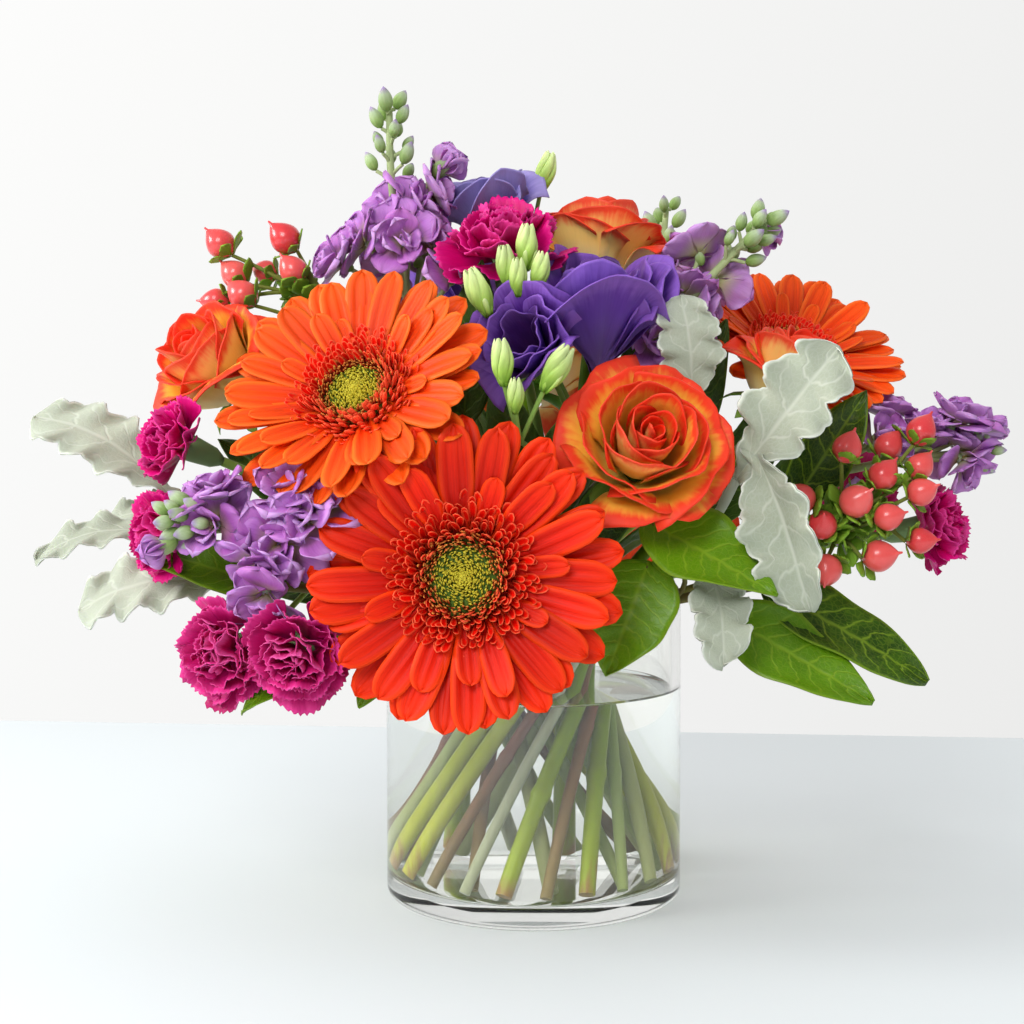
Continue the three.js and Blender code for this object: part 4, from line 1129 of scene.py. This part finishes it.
# Closed buds are downy: no clear highlight, and a soft pale edge, with lilac showing at the tip.
felted_bud_skin = plant_material("stock_bud", ["6E8C3A", "8CA664", "A8B894", "9C7CB8"],
                                 [0.0, 0.4, 0.75, 1.0], (16, 3, 0.5), 0.7, 0.15, 0.05)
egg = ovoid("stock_bud_egg", 9 * MM, 5.2 * MM, 0, 12, felted_bud_skin)
egg_mesh = egg.data.copy()
bpy.data.objects.remove(egg)
layer = egg_mesh.uv_layers.new(name="UVMap")
for loop in egg_mesh.loops:
    x, y, z = egg_mesh.vertices[loop.vertex_index].co
    layer.uv[loop.index].vector = (0.5 + math.atan2(y, x) / (2 * math.pi), z / (9 * MM))
tubes = []
buds = []
for count, (name, (ring, slot, end, faces, places, (bud_count, spread), half_open)) in enumerate(
        STOCK.items()):
    main = stem_route(ring, slot, THICKNESS["stock"], place(*end), unit(*faces))
    tubes.append((dense(main, 80), 0.5 * THICKNESS["stock"] * (1.05 - 0.55 * np.linspace(0, 1, 80) ** 2)))
    parts = []
    for k, at in enumerate(places):
        at = place(*at)
        way = outward(main, at, 0.45)
        heart = at - way * 6 * MM
        start = max(share_near(main, heart) - 0.08, 0.45)
        tubes.append((dense(branch_route(main, start, heart), 14), np.full(14, 1.0 * MM)))
        whole = whorl(stock_petals, 11, 300 + 20 * count + k, (1.6 * MM, 0.4 * MM), (0, 2.4 * MM), (4, 70),
                      (1.02, 0.5), GOLDEN_TURN, (14, 12, 22, 0.1))
        parts.append((whole, stand(heart, way, k)))
        buds.append((egg_mesh, stand(heart - way * 5 * MM, way, k, 0.85)))
    rng = np.random.default_rng(70 + count)
    for at in half_open:
        at = place(*at)
        way = outward(main, at, 0.8)
        start = max(share_near(main, at) - 0.12, 0.45)
        tubes.append((dense(branch_route(main, start, at - way * 8 * MM), 14), np.full(14, 0.9 * MM)))
        whole = whorl(stock_petals, 8, 390 + count, (1.2 * MM, 0.4 * MM), (0, 0), (74, 86), (0.8, 0.6),
                      GOLDEN_TURN, (14, 6, 24, 0.1))
        parts.append((whole, stand(at - way * 6 * MM, way)))
        buds.append((shaded(egg_mesh.copy(), 0.4), stand(at - way * 9 * MM, way, 0, 1.35)))
    finish_piece(assembled(name + "_florets", parts, stock_skin), "stock_florets", name)
    for k in range(bud_count):
        share = k / max(bud_count - 1, 1)
        stem_at = Vector(main[-1]).lerp(Vector(main[-4]), (1 - share) * spread / 26)
        turn = stand(stem_at, unit(*faces), GOLDEN_TURN * k)
        reach = (7 - 4.5 * share) * MM
        at = turn @ Vector((reach, 0, reach * 0.7))
        way = (at - stem_at).normalized().lerp(unit(*faces), 0.45).normalized()
        tubes.append((bezier([stem_at, stem_at + way * 2 * MM, at], 4), np.full(5, 0.8 * MM)))
        buds.append((shaded(egg_mesh.copy(), rng.uniform(0, 1)),
                     stand(at, way, rng.uniform(0, 6), rng.uniform(0.8, 1.25))))
piece = swept_piece("stock_stems", tubes, stock_stem_skin)
finish_piece(piece, "flower_stems", *STOCK)
piece = assembled("stock_buds", buds, felted_bud_skin)
finish_piece(piece, "flower_stems", *STOCK)

# --- Hypericum ----------------------------------------------------------------------------------
# Berry sprays: a reddish twig forking to glossy coral berries, each with a short beak and sitting
# in five rounded green sepals.

HYPERICUM = {
    "hypericum_left": (INNER_RING, 8, (-107, 0, 281), (-0.5, 0, 0.8), [
        (-135, 0, 279), (-129, 0, 266), (-138, 0, 254), (-103, -6, 267), (-118, 8, 268),
        (-124, -8, 256), (-107, 0, 281)]),
    "hypericum_right": (OUTER_RING, 10, (141, -41, 180), (0.5, -0.3, 0.8), [
        (125, -46, 191), (157, -38, 184), (128, -48, 169), (142, -48, 163), (156, -44, 173),
        (158, -34, 198), (106, -44, 170), (102, -48, 159), (115, -46, 160), (157, -42, 153),
        (138, -46, 147), (146, -30, 192), (117, -44, 141), (141, -41, 180)]),
    "hypericum_back": (INNER_RING, 6, (-6, 118, 178), (-0.1, 0.9, 0.3), [
        (-16, 120, 172), (4, 116, 176), (-6, 124, 186), (-22, 112, 186), (10, 108, 164),
        (-6, 116, 160)])}


def berry_material():
    """Ripe berry skin: coral red with paler freckled patches, tight and glossy like polished wax."""
    material, tree = new_material("hypericum_berry")
    where = add(tree, "ShaderNodeTexCoord").node.outputs["Object"]
    blotch = add(tree, "ShaderNodeTexNoise", {"Vector": where, "Scale": 1 / (6 * MM), "Detail": 2.0})
    fleck = add(tree, "ShaderNodeTexNoise", {"Vector": where, "Scale": 1 / (0.6 * MM), "Detail": 2.0})
    tone = add(tree, "ShaderNodeAttribute", attribute_name="shade").node.outputs["Fac"]
    mixed = add(tree, "ShaderNodeMath", {0: blotch, 1: 0.55, 2: tone}, operation="MULTIPLY_ADD")
    body = add(tree, "ShaderNodeMix", {
        "Factor": add(tree, "ShaderNodeMapRange", {"Value": mixed, "From Min": 0.1, "From Max": 1.3}),
        "A": linear("D22834"), "B": linear("EE605C")}, data_type="RGBA")
    dots = add(tree, "ShaderNodeMapRange", {"Value": fleck, "From Min": 0.6, "From Max": 0.75,
                                            "To Max": 0.25})
    colour = add(tree, "ShaderNodeMix", {"Factor": dots, "A": body, "B": linear("EA8474")},
                 data_type="RGBA")
    skin = add(tree, "ShaderNodeBsdfPrincipled", {
        "Base Color": colour, "Roughness": 0.3, "IOR": 1.45, "Subsurface Weight": 0.08,
        "Subsurface Radius": (1.0, 0.3, 0.2), "Subsurface Scale": 2 * MM, "Coat Weight": 0.35,
        "Coat Roughness": 0.12})
    add(tree, "ShaderNodeOutputMaterial", {"Surface": skin})
    return material


berry_skin = berry_material()
# Sepals and leaflets are fresh green with a low satin gloss, against the coral berries.
sepal_skin = plant_material("hypericum_sepal", ["7E9A26", "6E962A", "84AA36"], [0.0, 0.5, 1.0],
                            (10, 2, 0.35), 0.42, 0.0, 0.08)
# The twig is dull bark, reddish brown in its middle and green where it forks.
twig_skin = plant_material("hypericum_twig", ["8C7A48", "8A5A40", "7E8A3A"], [0.05, 0.35, 0.6],
                           (RIBS_ACROSS, RIBS_ALONG, 0.4), 0.5, by="Object")
rng = np.random.default_rng(83)
leaflets = kit("leaflets", [
    broad_petal("leaflet", 9.5 * MM, 7 * MM, 0.3 * MM, 0.1, rng, 7, 7) for _ in range(4)])
egg = ovoid("berry_egg", 15 * MM, 12.6 * MM, 1.6 * MM, 24, berry_skin)
egg_mesh = egg.data.copy()
bpy.data.objects.remove(egg)
tubes, berries, greens = [], [], []
for count, (name, (ring, slot, end, faces, places)) in enumerate(HYPERICUM.items()):
    main = stem_route(ring, slot, THICKNESS["hypericum"], place(*end) - unit(*faces) * 14 * MM, unit(*faces))
    tubes.append((dense(main, 80), stem_radii(80, THICKNESS["hypericum"], [0.3, 0.6, 0.8, 0.93])))
    for k, at in enumerate(places):
        at = place(*at)
        start = rng.uniform(0.84, 0.97)
        root = Vector(main[int(start * (len(main) - 1))])
        way = ((at - root).normalized() + Vector(rng.uniform(-0.35, 0.35, 3)) + unit(*faces) * 0.3)
        way.normalize()
        base = at - way * 7.5 * MM
        size = rng.uniform(0.82, 1.08)
        tubes.append((dense(branch_route(main, start, base), 16), np.linspace(1.1, 0.8, 16) * MM))
        berries.append((shaded(egg_mesh.copy(), rng.uniform(0, 1)), stand(base, way, 0, size)))
        ruff = whorl(leaflets, 5, 500 + 20 * count + k, (1.2 * MM,) * 2, (0.2 * MM,) * 2, (14, 24), (1, 1),
                     2 * math.pi / 5, (10, 14, 12, 0.2))
        greens.append((ruff, stand(base, way, k, size)))
        pair = whorl(leaflets, 3, 600 + 20 * count + k, (1.0 * MM,) * 2, (0, 0), (25, 50), (1.25, 1.25),
                     2.3, (14, 14, 12, 0.2))
        middle = Vector(branch_route(main, start, base)[7])
        greens.append((pair, stand(middle, way, 2 * k)))
finish_piece(assembled("hypericum_berries", berries, berry_skin), "hypericum_berries", *HYPERICUM)
finish_piece(assembled("hypericum_sepals", greens, sepal_skin), "flower_stems", *HYPERICUM)
finish_piece(swept_piece("hypericum_twigs", tubes, twig_skin), "flower_stems", *HYPERICUM)

# --- Dusty miller -------------------------------------------------------------------------------
# Thick felted silver leaves with rounded lobes and a waving margin, on pale felted stems.


def leaf_material(name, top, under, vein, margin, ribs, roughness, sheen, through, gloss=0.0):
    """A leaf blade: two top greens, an underside, ribs this many to a side, a margin, fine net veins."""
    material, tree = new_material(name)
    where = add(tree, "ShaderNodeUVMap", uv_map="UVMap")
    split = add(tree, "ShaderNodeSeparateXYZ", {"Vector": where}).node
    back = add(tree, "ShaderNodeMath", {0: split.outputs["X"], 1: 1.5}, operation="GREATER_THAN")
    across = add(tree, "ShaderNodeMath", {0: back, 1: -2.0, 2: split.outputs["X"]},
                 operation="MULTIPLY_ADD")
    centred = add(tree, "ShaderNodeMath", {0: across, 1: 2.0, 2: -1.0}, operation="MULTIPLY_ADD")
    aside = add(tree, "ShaderNodeMath", {0: centred}, operation="ABSOLUTE")
    wander = add(tree, "ShaderNodeTexNoise", {"Vector": where, "Scale": 5.0, "Detail": 2.0})
    lean = add(tree, "ShaderNodeMath", {0: aside, 1: -1.5, 2: wander}, operation="MULTIPLY_ADD")
    run = add(tree, "ShaderNodeMath", {0: split.outputs["Y"], 1: float(ribs), 2: lean},
              operation="MULTIPLY_ADD")
    near = add(tree, "ShaderNodeMath", {0: run, 1: 0.5}, operation="PINGPONG")
    side = add(tree, "ShaderNodeMapRange", {"Value": near, "From Min": 0.02, "From Max": 0.1,
                                            "To Min": 1.0, "To Max": 0.0})
    fade = add(tree, "ShaderNodeMapRange", {"Value": aside, "From Min": 0.6, "From Max": 1.0,
                                            "To Min": 1.0, "To Max": 0.2})
    side = add(tree, "ShaderNodeMath", {0: side, 1: fade}, operation="MULTIPLY")
    rib = add(tree, "ShaderNodeMapRange", {"Value": aside, "From Min": 0.02, "From Max": 0.09,
                                           "To Min": 1.0, "To Max": 0.0})
    stretched = add(tree, "ShaderNodeMapping", {"Vector": where, "Scale": (16, 30, 1)})
    cells = add(tree, "ShaderNodeTexVoronoi", {"Vector": stretched, "Scale": 1.0},
                feature="DISTANCE_TO_EDGE")
    net = add(tree, "ShaderNodeMapRange", {"Value": cells, "From Min": 0.0, "From Max": 0.12,
                                           "To Min": 0.35, "To Max": 0.0})
    veins = add(tree, "ShaderNodeMath", {0: add(
        tree, "ShaderNodeMath", {0: side, 1: rib}, operation="MAXIMUM"), 1: net}, operation="MAXIMUM")
    tone = add(tree, "ShaderNodeAttribute", attribute_name="shade").node.outputs["Fac"]
    spots = add(tree, "ShaderNodeTexNoise", {
        "Vector": add(tree, "ShaderNodeTexCoord").node.outputs["Object"], "Scale": 1 / (12 * MM)})
    blend = add(tree, "ShaderNodeMath", {0: spots, 1: 0.7, 2: tone}, operation="MULTIPLY_ADD")
    blend = add(tree, "ShaderNodeMapRange", {"Value": blend, "From Min": 0.25, "From Max": 1.1})
    body = add(tree, "ShaderNodeMix", {"Factor": blend, "A": linear(top[0]), "B": linear(top[1])},
               data_type="RGBA")
    sided = add(tree, "ShaderNodeMix", {"Factor": back, "A": body, "B": linear(under)},
                data_type="RGBA")
    strength = add(tree, "ShaderNodeMath", {0: veins, 1: 0.5}, operation="MULTIPLY")
    veined = add(tree, "ShaderNodeMix", {"Factor": strength, "A": sided, "B": linear(vein)},
                 data_type="RGBA")
    hem = add(tree, "ShaderNodeMapRange", {"Value": aside, "From Min": 0.9, "From Max": 0.99})
    colour = add(tree, "ShaderNodeMix", {"Factor": hem, "A": veined, "B": linear(margin)},
                 data_type="RGBA")
    relief = add(tree, "ShaderNodeBump", {
        "Height": veins, "Strength": 0.5, "Distance": -0.35 * MM})
    skin = add(tree, "ShaderNodeBsdfPrincipled", {
        "Base Color": colour, "Roughness": roughness, "IOR": 1.4, "Normal": relief,
        "Specular IOR Level": 0.3, "Sheen Weight": sheen, "Sheen Roughness": 0.5,
        "Subsurface Weight": through,
        "Subsurface Radius": (0.6, 1.0, 0.2), "Subsurface Scale": 1.5 * MM, "Coat Weight": gloss,
        "Coat Roughness": 0.25})
    add(tree, "ShaderNodeOutputMaterial", {"Surface": skin})
    return material


def lay(base, tip, normal, roll=0.0):
    """The matrix that lays a leaf from its base to its tip with its top towards the normal."""
    along = (tip - base).normalized()
    up = (normal - along * normal.dot(along)).normalized()
    side = along.cross(up)
    turn = Matrix((side, along, up)).transposed().to_4x4()
    return Matrix.Translation(base) @ turn @ Matrix.Rotation(roll, 4, "Y")


def lobed_leaf(length, width, fold, rng):
    """A felted blade with rounded lobes to each side, its margin waving between them."""
    lobes = rng.uniform(3.6, 4.4)
    phase = rng.uniform(-0.15, 0.15)
    sway = rng.uniform(-0.08, 0.08)

    def surface(u, v):
        env = (0.22 + 0.78 * smooth((v - 0.08) / 0.42)) * (1 - 0.25 * v) * round_tip(v, 0.8)
        shift = phase + 0.22 * np.sign(u)
        bays = np.abs(np.sin(math.pi * (lobes * v + shift))) ** 0.55
        bites = np.abs(np.sin(math.pi * (2.5 * lobes * v + shift))) ** 0.7
        half = width / 2 * env * (1 - 0.36 * (1 - bays) - 0.1 * (1 - bites))
        x = u * half + sway * length * np.sin(math.pi * v)
        y = length * v * (1 - 0.12 * np.abs(u)) + 0.12 * length * np.abs(u) * v
        waves = 0.10 * width * np.abs(u) ** 1.6 * np.sin(2 * math.pi * lobes * v + 5 * phase + 2 * u)
        z = waves + fold * np.abs(u) * half + 0.08 * length * (4 * v * (1 - v) - 1.4 * v ** 3)
        return x, y, z
    return shell("lobed_leaf", surface, 17, 52, 0.7 * MM)


# Where each leaf leaves its stem and how it lies: (base, tip, way its top faces, width, from, fold).
DUSTY_MILLER = {
    "dusty_miller_left": (OUTER_RING, 0, (-160, -20, 172), (-0.9, -0.05, 0.4), [
        ((-150, -20, 168), (-206, -20, 206), (0.3, -0.8, 0.5), 38, 0.96, 0.1),
        ((-150, -26, 153), (-204, -32, 149), (0, -0.6, 0.8), 26, 0.85, 0.15),
        ((-119, -46, 134), (-180, -52, 130), (0, -0.75, 0.7), 40, 0.7, 0.1),
        ((-140, -16, 158), (-186, -10, 160), (0.1, -0.7, 0.7), 26, 0.8, 0.1)]),
    "dusty_miller_right": (OUTER_RING, 8, (78, -60, 178), (0.3, -0.3, 0.9), [
        ((78, -62, 178), (110, -80, 226), (-0.3, -0.9, 0.2), 40, 1.0, 0.25),
        ((84, -66, 190), (98, -88, 132), (-0.5, -0.8, 0), 36, 0.95, 0.75),
        ((62, -44, 205), (58, -52, 248), (0, -0.9, 0.3), 32, 0.9, 0.2),
        ((66, -56, 146), (70, -84, 112), (0, -0.9, 0.3), 28, 0.75, 0.3)])}
# Dusty miller is covered in white wool: chalky, glossless, brighter at a glancing angle.
felt_skin = leaf_material("dusty_miller_leaf", ("98A08C", "B2B8A6"), "868A78", "CACEC0", "DEE2D6", 5, 0.85,
                          0.1, 0.04)
# The stems wear the same wool, so they stay pale and glossless too.
felt_stem_skin = plant_material("dusty_miller_stem", ["A9AE8C", "B4BCA0", "C4CCBC"], [0.05, 0.4, 0.8],
                                (RIBS_ACROSS, RIBS_ALONG, 0.3), 0.8, 0.4, by="Object")
rng = np.random.default_rng(101)
tubes, blades = [], []
for name, (ring, slot, end, faces, leaves) in DUSTY_MILLER.items():
    main = stem_route(ring, slot, THICKNESS["dusty"], place(*end), unit(*faces))
    tubes.append((dense(main, 70), stem_radii(70, THICKNESS["dusty"], [])))
    for base, tip, normal, width, start, fold in leaves:
        base, tip, normal = place(*base), place(*tip), unit(*normal)
        blade = lobed_leaf((tip - base).length * 1.04, width * MM, fold, rng)
        blades.append((shaded(blade, rng.uniform(0, 1)), lay(base, tip, normal)))
        if start < 1:
            tubes.append((dense(branch_route(main, start, base.lerp(tip, 0.1)), 14),
                          np.linspace(1.2, 0.9, 14) * MM))
finish_piece(assembled("dusty_miller_leaves", blades, felt_skin), "dusty_miller_leaf", *DUSTY_MILLER)
finish_piece(swept_piece("dusty_miller_stems", tubes, felt_stem_skin), "flower_stems", *DUSTY_MILLER)

# --- Lemon leaf ---------------------------------------------------------------------------------
# Broad pointed leathery leaves on reddish twigs, light and dark, that collar the vase's mouth and
# fill the gaps between the heads, where they are darkened as painted shade.


def ovate_leaf(length, width, fold, arch, rng):
    """A leathery blade, broadest below its middle, drawn out to a point, folded along its rib."""
    phase = rng.uniform(0, 6)
    wave = rng.uniform(0.02, 0.07)

    def surface(u, v):
        swell = np.clip(v, 0.004, 1) ** 0.55 * np.clip(1 - v, 0.0, 1) ** 0.85 * 1.62
        half = width / 2 * np.clip(swell, 0.01, 1) * (1 + 0.03 * np.sin(17 * v + phase))
        waves = wave * width * u ** 2 * np.sin(7 * v + phase + 1.5 * u)
        puff = 0.012 * width * np.cos(2 * math.pi * (7 * v - 1.5 * np.abs(u))) * (1 - u ** 2)
        z = waves + puff + fold * np.abs(u) ** 1.3 * half - arch * length * v ** 2
        return u * half, length * v * (1 - 0.3 * arch * v), z
    return shell("ovate_leaf", surface, 15, 26, 0.45 * MM)


LEMON_LEAF = {
    "foliage_right": (OUTER_RING, 7, (96, -44, 136), (0.9, -0.3, 0.2), [
        ((42, -66, 162), (86, -94, 138), (0.1, -0.75, 0.65), 54, 0.74, 0.9),
        ((44, -62, 146), (27, -82, 107), (-0.1, -0.95, 0.2), 54, 0.72, 0.8),
        ((92, -46, 134), (156, -56, 102), (0.1, -0.8, 0.6), 48, 0.95, 0.05),
        ((74, -50, 124), (128, -68, 94), (0, -0.85, 0.5), 48, 0.85, 0.7),
        ((108, -16, 166), (136, -30, 212), (0.1, -0.9, 0.2), 38, 0.9, 0.0)]),
    "foliage_left": (OUTER_RING, 3, (-104, -58, 136), (-0.8, -0.5, 0.1), [
        ((-100, -58, 134), (-152, -62, 152), (0, -0.8, 0.6), 38, 1.0, 0.6),
        ((-74, -62, 122), (-108, -90, 94), (-0.2, -0.8, 0.6), 34, 0.85, 0.6),
        ((-48, -66, 124), (-66, -88, 96), (0, -0.9, 0.4), 30, 0.75, 0.7)]),
    "foliage_back": (OUTER_RING, 18, (-84, 74, 150), (-0.6, 0.7, 0.3), [
        ((-84, 74, 150), (-128, 96, 132), (-0.3, 0.5, 0.8), 38, 1.0, 0.3),
        ((-70, 74, 140), (-92, 108, 104), (-0.3, 0.8, 0.5), 36, 0.9, 0.5),
        ((-40, 70, 138), (-34, 104, 108), (0, 0.8, 0.5), 38, 0.8, 0.2),
        ((4, 66, 142), (16, 110, 124), (0, 0.7, 0.7), 38, 0.75, 0.6),
        ((-100, 40, 150), (-150, 40, 132), (-0.3, 0.1, 0.9), 38, 0.85, 0.3)])}
# Leaves deep between the heads, tucked in from behind: (base, tip, way its top faces).
DEEP_LEAVES = [
    ((56, 6, 168), (82, -8, 246), (-0.2, -0.95, 0.1)), ((80, 10, 158), (112, 0, 226), (0.1, -0.95, 0.2)),
    ((40, 0, 196), (56, -12, 262), (0.2, -0.95, 0)), ((96, 14, 150), (140, 6, 208), (0.1, -0.9, 0.3)),
    ((-60, 0, 176), (-84, -12, 246), (0.2, -0.9, 0.2)), ((-70, -10, 130), (-128, -24, 138), (0, -0.8, 0.6)),
    ((-84, -4, 160), (-134, -14, 196), (0.1, -0.9, 0.3)),
    ((-30, -20, 200), (-22, -34, 268), (-0.1, -0.95, 0)),
    ((20, -20, 150), (50, -50, 190), (-0.1, -0.9, 0.3))]
# Lemon leaf is leathery: a soft polish on top, duller and paler below, pale veins sunk into it.
leaf_skin = leaf_material("lemon_leaf", ("223C08", "5E8A06"), "66861E", "8EAA28", "78961A", 8, 0.42, 0.0,
                          0.1, 0.18)
# The twigs are half-matte reddish bark with fine lengthwise ribs.
leaf_twig_skin = plant_material("lemon_leaf_twig", ["7A6A40", "7A4A38", "6E6A36"], [0.05, 0.3, 0.55],
                                (RIBS_ACROSS, RIBS_ALONG, 0.5), 0.55, by="Object")
rng = np.random.default_rng(113)
tubes = []
for name, (ring, slot, end, faces, leaves) in LEMON_LEAF.items():
    main = stem_route(ring, slot, THICKNESS["foliage"], place(*end), unit(*faces))
    tubes.append((dense(main, 80), stem_radii(80, THICKNESS["foliage"], [0.3, 0.55, 0.75])))
    blades = []
    for base, tip, normal, width, start, light in leaves:
        base, tip, normal = place(*base), place(*tip), unit(*normal)
        blade = ovate_leaf((tip - base).length * 1.06, width * MM, rng.uniform(0.15, 0.4),
                           rng.uniform(0.02, 0.14), rng)
        blades.append((shaded(blade, light), lay(base, tip, normal)))
        if start < 1:
            tubes.append((dense(branch_route(main, start, base.lerp(tip, 0.06)), 14),
                          np.linspace(1.2, 0.8, 14) * MM))
    finish_piece(assembled(name + "_leaves", blades, leaf_skin), "lemon_leaf", name)
fillers = kit("filler_leaves", [
    ovate_leaf(66 * MM, rng.uniform(30, 36) * MM, 0.25, rng.uniform(0.05, 0.2), rng) for _ in range(5)])
nest = [(whorl(fillers, 15, 700, (16 * MM, 24 * MM), (122 * MM, 128 * MM), (10, 34), (0.8, 0.9),
               GOLDEN_TURN, (10, 8, 14, 0.15)), Matrix()),
        (whorl(fillers, 18, 710, (24 * MM, 12 * MM), (140 * MM, 165 * MM), (38, 72), (0.95, 1.05),
               GOLDEN_TURN, (10, 8, 14, 0.15)), Matrix())]
for base, tip, normal in DEEP_LEAVES:
    base, tip = place(*base), place(*tip)
    blade = ovate_leaf((tip - base).length, rng.uniform(34, 40) * MM, 0.25, rng.uniform(0.02, 0.1), rng)
    nest.append((shaded(blade, rng.uniform(0, 1)), lay(base, tip, unit(*normal))))
# Painted shade: leaves deep in the bunch get a darker, greyer green, so the gaps between heads read as
# shade.
painted_shade_leaf_skin = leaf_material("dark_lemon_leaf", ("1F330C", "44641A"), "4E6A28", "6E8A38", "4E7024", 8, 0.45, 0.0,
                         0.15, 0.2)
finish_piece(assembled("inner_leaves", nest, painted_shade_leaf_skin), "lemon_leaf", *LEMON_LEAF)
finish_piece(swept_piece("lemon_leaf_twigs", tubes, leaf_twig_skin), "flower_stems", *LEMON_LEAF)

# --- Table, wall, light and camera ----------------------------------------------------------------
# A plain pale table against a bright wall that glows by itself, with a painted falloff of light,
# the bouquet and table lit by a soft window on the left and a larger soft lamp in front. The room is
# dimmer towards the front, and dimmer still in what glass mirrors.


def stage_mesh(name, corners, material):
    """A flat sheet of the stage."""
    mesh = bpy.data.meshes.new(name)
    mesh.from_pydata(corners, [], [tuple(range(len(corners)))])
    mesh.materials.append(material)
    made = bpy.data.objects.new(name, mesh)
    bpy.context.scene.collection.objects.link(made)
    return made


def plain_material(name, code, roughness):
    """An even matte paint."""
    material, tree = new_material(name)
    paint = add(tree, "ShaderNodeBsdfPrincipled", {
        "Base Color": linear(code), "Roughness": roughness, "Specular IOR Level": 0.2})
    add(tree, "ShaderNodeOutputMaterial", {"Surface": paint})
    return material


def glowing_backdrop_material(name, code, level, painted_falloff):
    """A wall that glows by itself rather than being lit: its glow at the middle, and its painted falloff per
    metre in X and Z.
    """
    material, tree = new_material(name)
    split = add(tree, "ShaderNodeSeparateXYZ", {
        "Vector": add(tree, "ShaderNodeTexCoord").node.outputs["Object"]}).node
    aside = add(tree, "ShaderNodeMath", {0: split.outputs["X"], 1: painted_falloff[0], 2: level},
                operation="MULTIPLY_ADD")
    glow = add(tree, "ShaderNodeMath", {0: split.outputs["Z"], 1: painted_falloff[1], 2: aside},
               operation="MULTIPLY_ADD")
    paint = add(tree, "ShaderNodeBsdfPrincipled", {
        "Base Color": linear("000000"), "Roughness": 1.0, "Specular IOR Level": 0.0,
        "Emission Color": linear(code), "Emission Strength": glow})
    add(tree, "ShaderNodeOutputMaterial", {"Surface": paint})
    return material


def lamp(name, at, towards, power, size):
    """A rectangular soft lamp at a place, aimed at another."""
    light = bpy.data.lights.new(name, "AREA")
    light.energy = power
    light.shape = "RECTANGLE"
    light.size, light.size_y = size
    made = bpy.data.objects.new(name, light)
    made.location = at
    made.rotation_euler = (Vector(towards) - Vector(at)).to_track_quat("-Z", "Y").to_euler()
    bpy.context.scene.collection.objects.link(made)
    return made


# The table is even matte paint that shows nothing but soft shadows.
floor_finish = plain_material("pale_table_paint", "DEE4E6", 0.6)
TABLE_SIDE = 2.5
TABLE_FRONT = -1.6
TABLE_BACK = (0.605, 0.135)  # how far behind the vase the table ends, on its left and on its right
table_corners = [(-TABLE_SIDE, TABLE_FRONT, 0), (TABLE_SIDE, TABLE_FRONT, 0),
                 (TABLE_SIDE, TABLE_BACK[1], 0), (-TABLE_SIDE, TABLE_BACK[0], 0)]
stage_mesh("table", table_corners, floor_finish)

# The wall is a smooth bright field with no visible texture. It glows by itself, and its glow
# carries a painted falloff of light, a touch dimmer to the right.
WALL_AWAY = 3.0
WALL_SIDE = 6
WALL_FOOT = -3
WALL_TOP = 4
glowing_wall_finish = glowing_backdrop_material("glowing_white_wall", "FFFFFE", 0.9, (-0.04, 0.02))
stage_mesh("wall", [(-WALL_SIDE, WALL_AWAY, WALL_FOOT), (WALL_SIDE, WALL_AWAY, WALL_FOOT),
                    (WALL_SIDE, WALL_AWAY, WALL_TOP), (-WALL_SIDE, WALL_AWAY, WALL_TOP)], glowing_wall_finish)

ROOM_LIGHT = (0.42, 1.0)  # how bright the room is in front of the vase and behind it
MIRRORED_LOSS = 0.75  # how much of it the glass and the waxy skins don't mirror
world = bpy.data.worlds.new("room")
bpy.context.scene.world = world
world.use_nodes = True
world.node_tree.nodes.clear()
way = add(world.node_tree, "ShaderNodeTexCoord")
facing = add(world.node_tree, "ShaderNodeSeparateXYZ", {"Vector": way}).node.outputs["Y"]
glow = add(world.node_tree, "ShaderNodeMapRange", {
    "Value": facing, "From Min": -0.7, "From Max": 0.2, "To Min": ROOM_LIGHT[0],
    "To Max": ROOM_LIGHT[1]})
mirrored = add(world.node_tree, "ShaderNodeLightPath").node.outputs["Is Glossy Ray"]
dimming = add(world.node_tree, "ShaderNodeMath", {0: mirrored, 1: -MIRRORED_LOSS, 2: 1.0},
              operation="MULTIPLY_ADD")
level = add(world.node_tree, "ShaderNodeMath", {0: glow, 1: dimming}, operation="MULTIPLY")
sky = add(world.node_tree, "ShaderNodeBackground", {"Color": linear("FFFFFF"), "Strength": level})
add(world.node_tree, "ShaderNodeOutputWorld", {"Surface": sky})
middle = Vector((0, 0, 0.16))
lamp("window", (-1.4, -0.25, 0.74), middle, 14, (0.5, 0.5))
lamp("softbox", (-0.6, -1.6, 1.1), middle, 22, (0.8, 0.8))

EYE = place(-9.3, -615, 182.5)
PITCH = math.radians(1.8)
camera = bpy.data.cameras.new("camera")
camera.lens = 50
camera.sensor_width = 36
camera_object = bpy.data.objects.new("camera", camera)
camera_object.location = EYE
camera_object.rotation_euler = (math.pi / 2 - PITCH, 0, 0)
bpy.context.scene.collection.objects.link(camera_object)
bpy.context.scene.camera = camera_object
bpy.context.scene.view_settings.view_transform = "Standard"
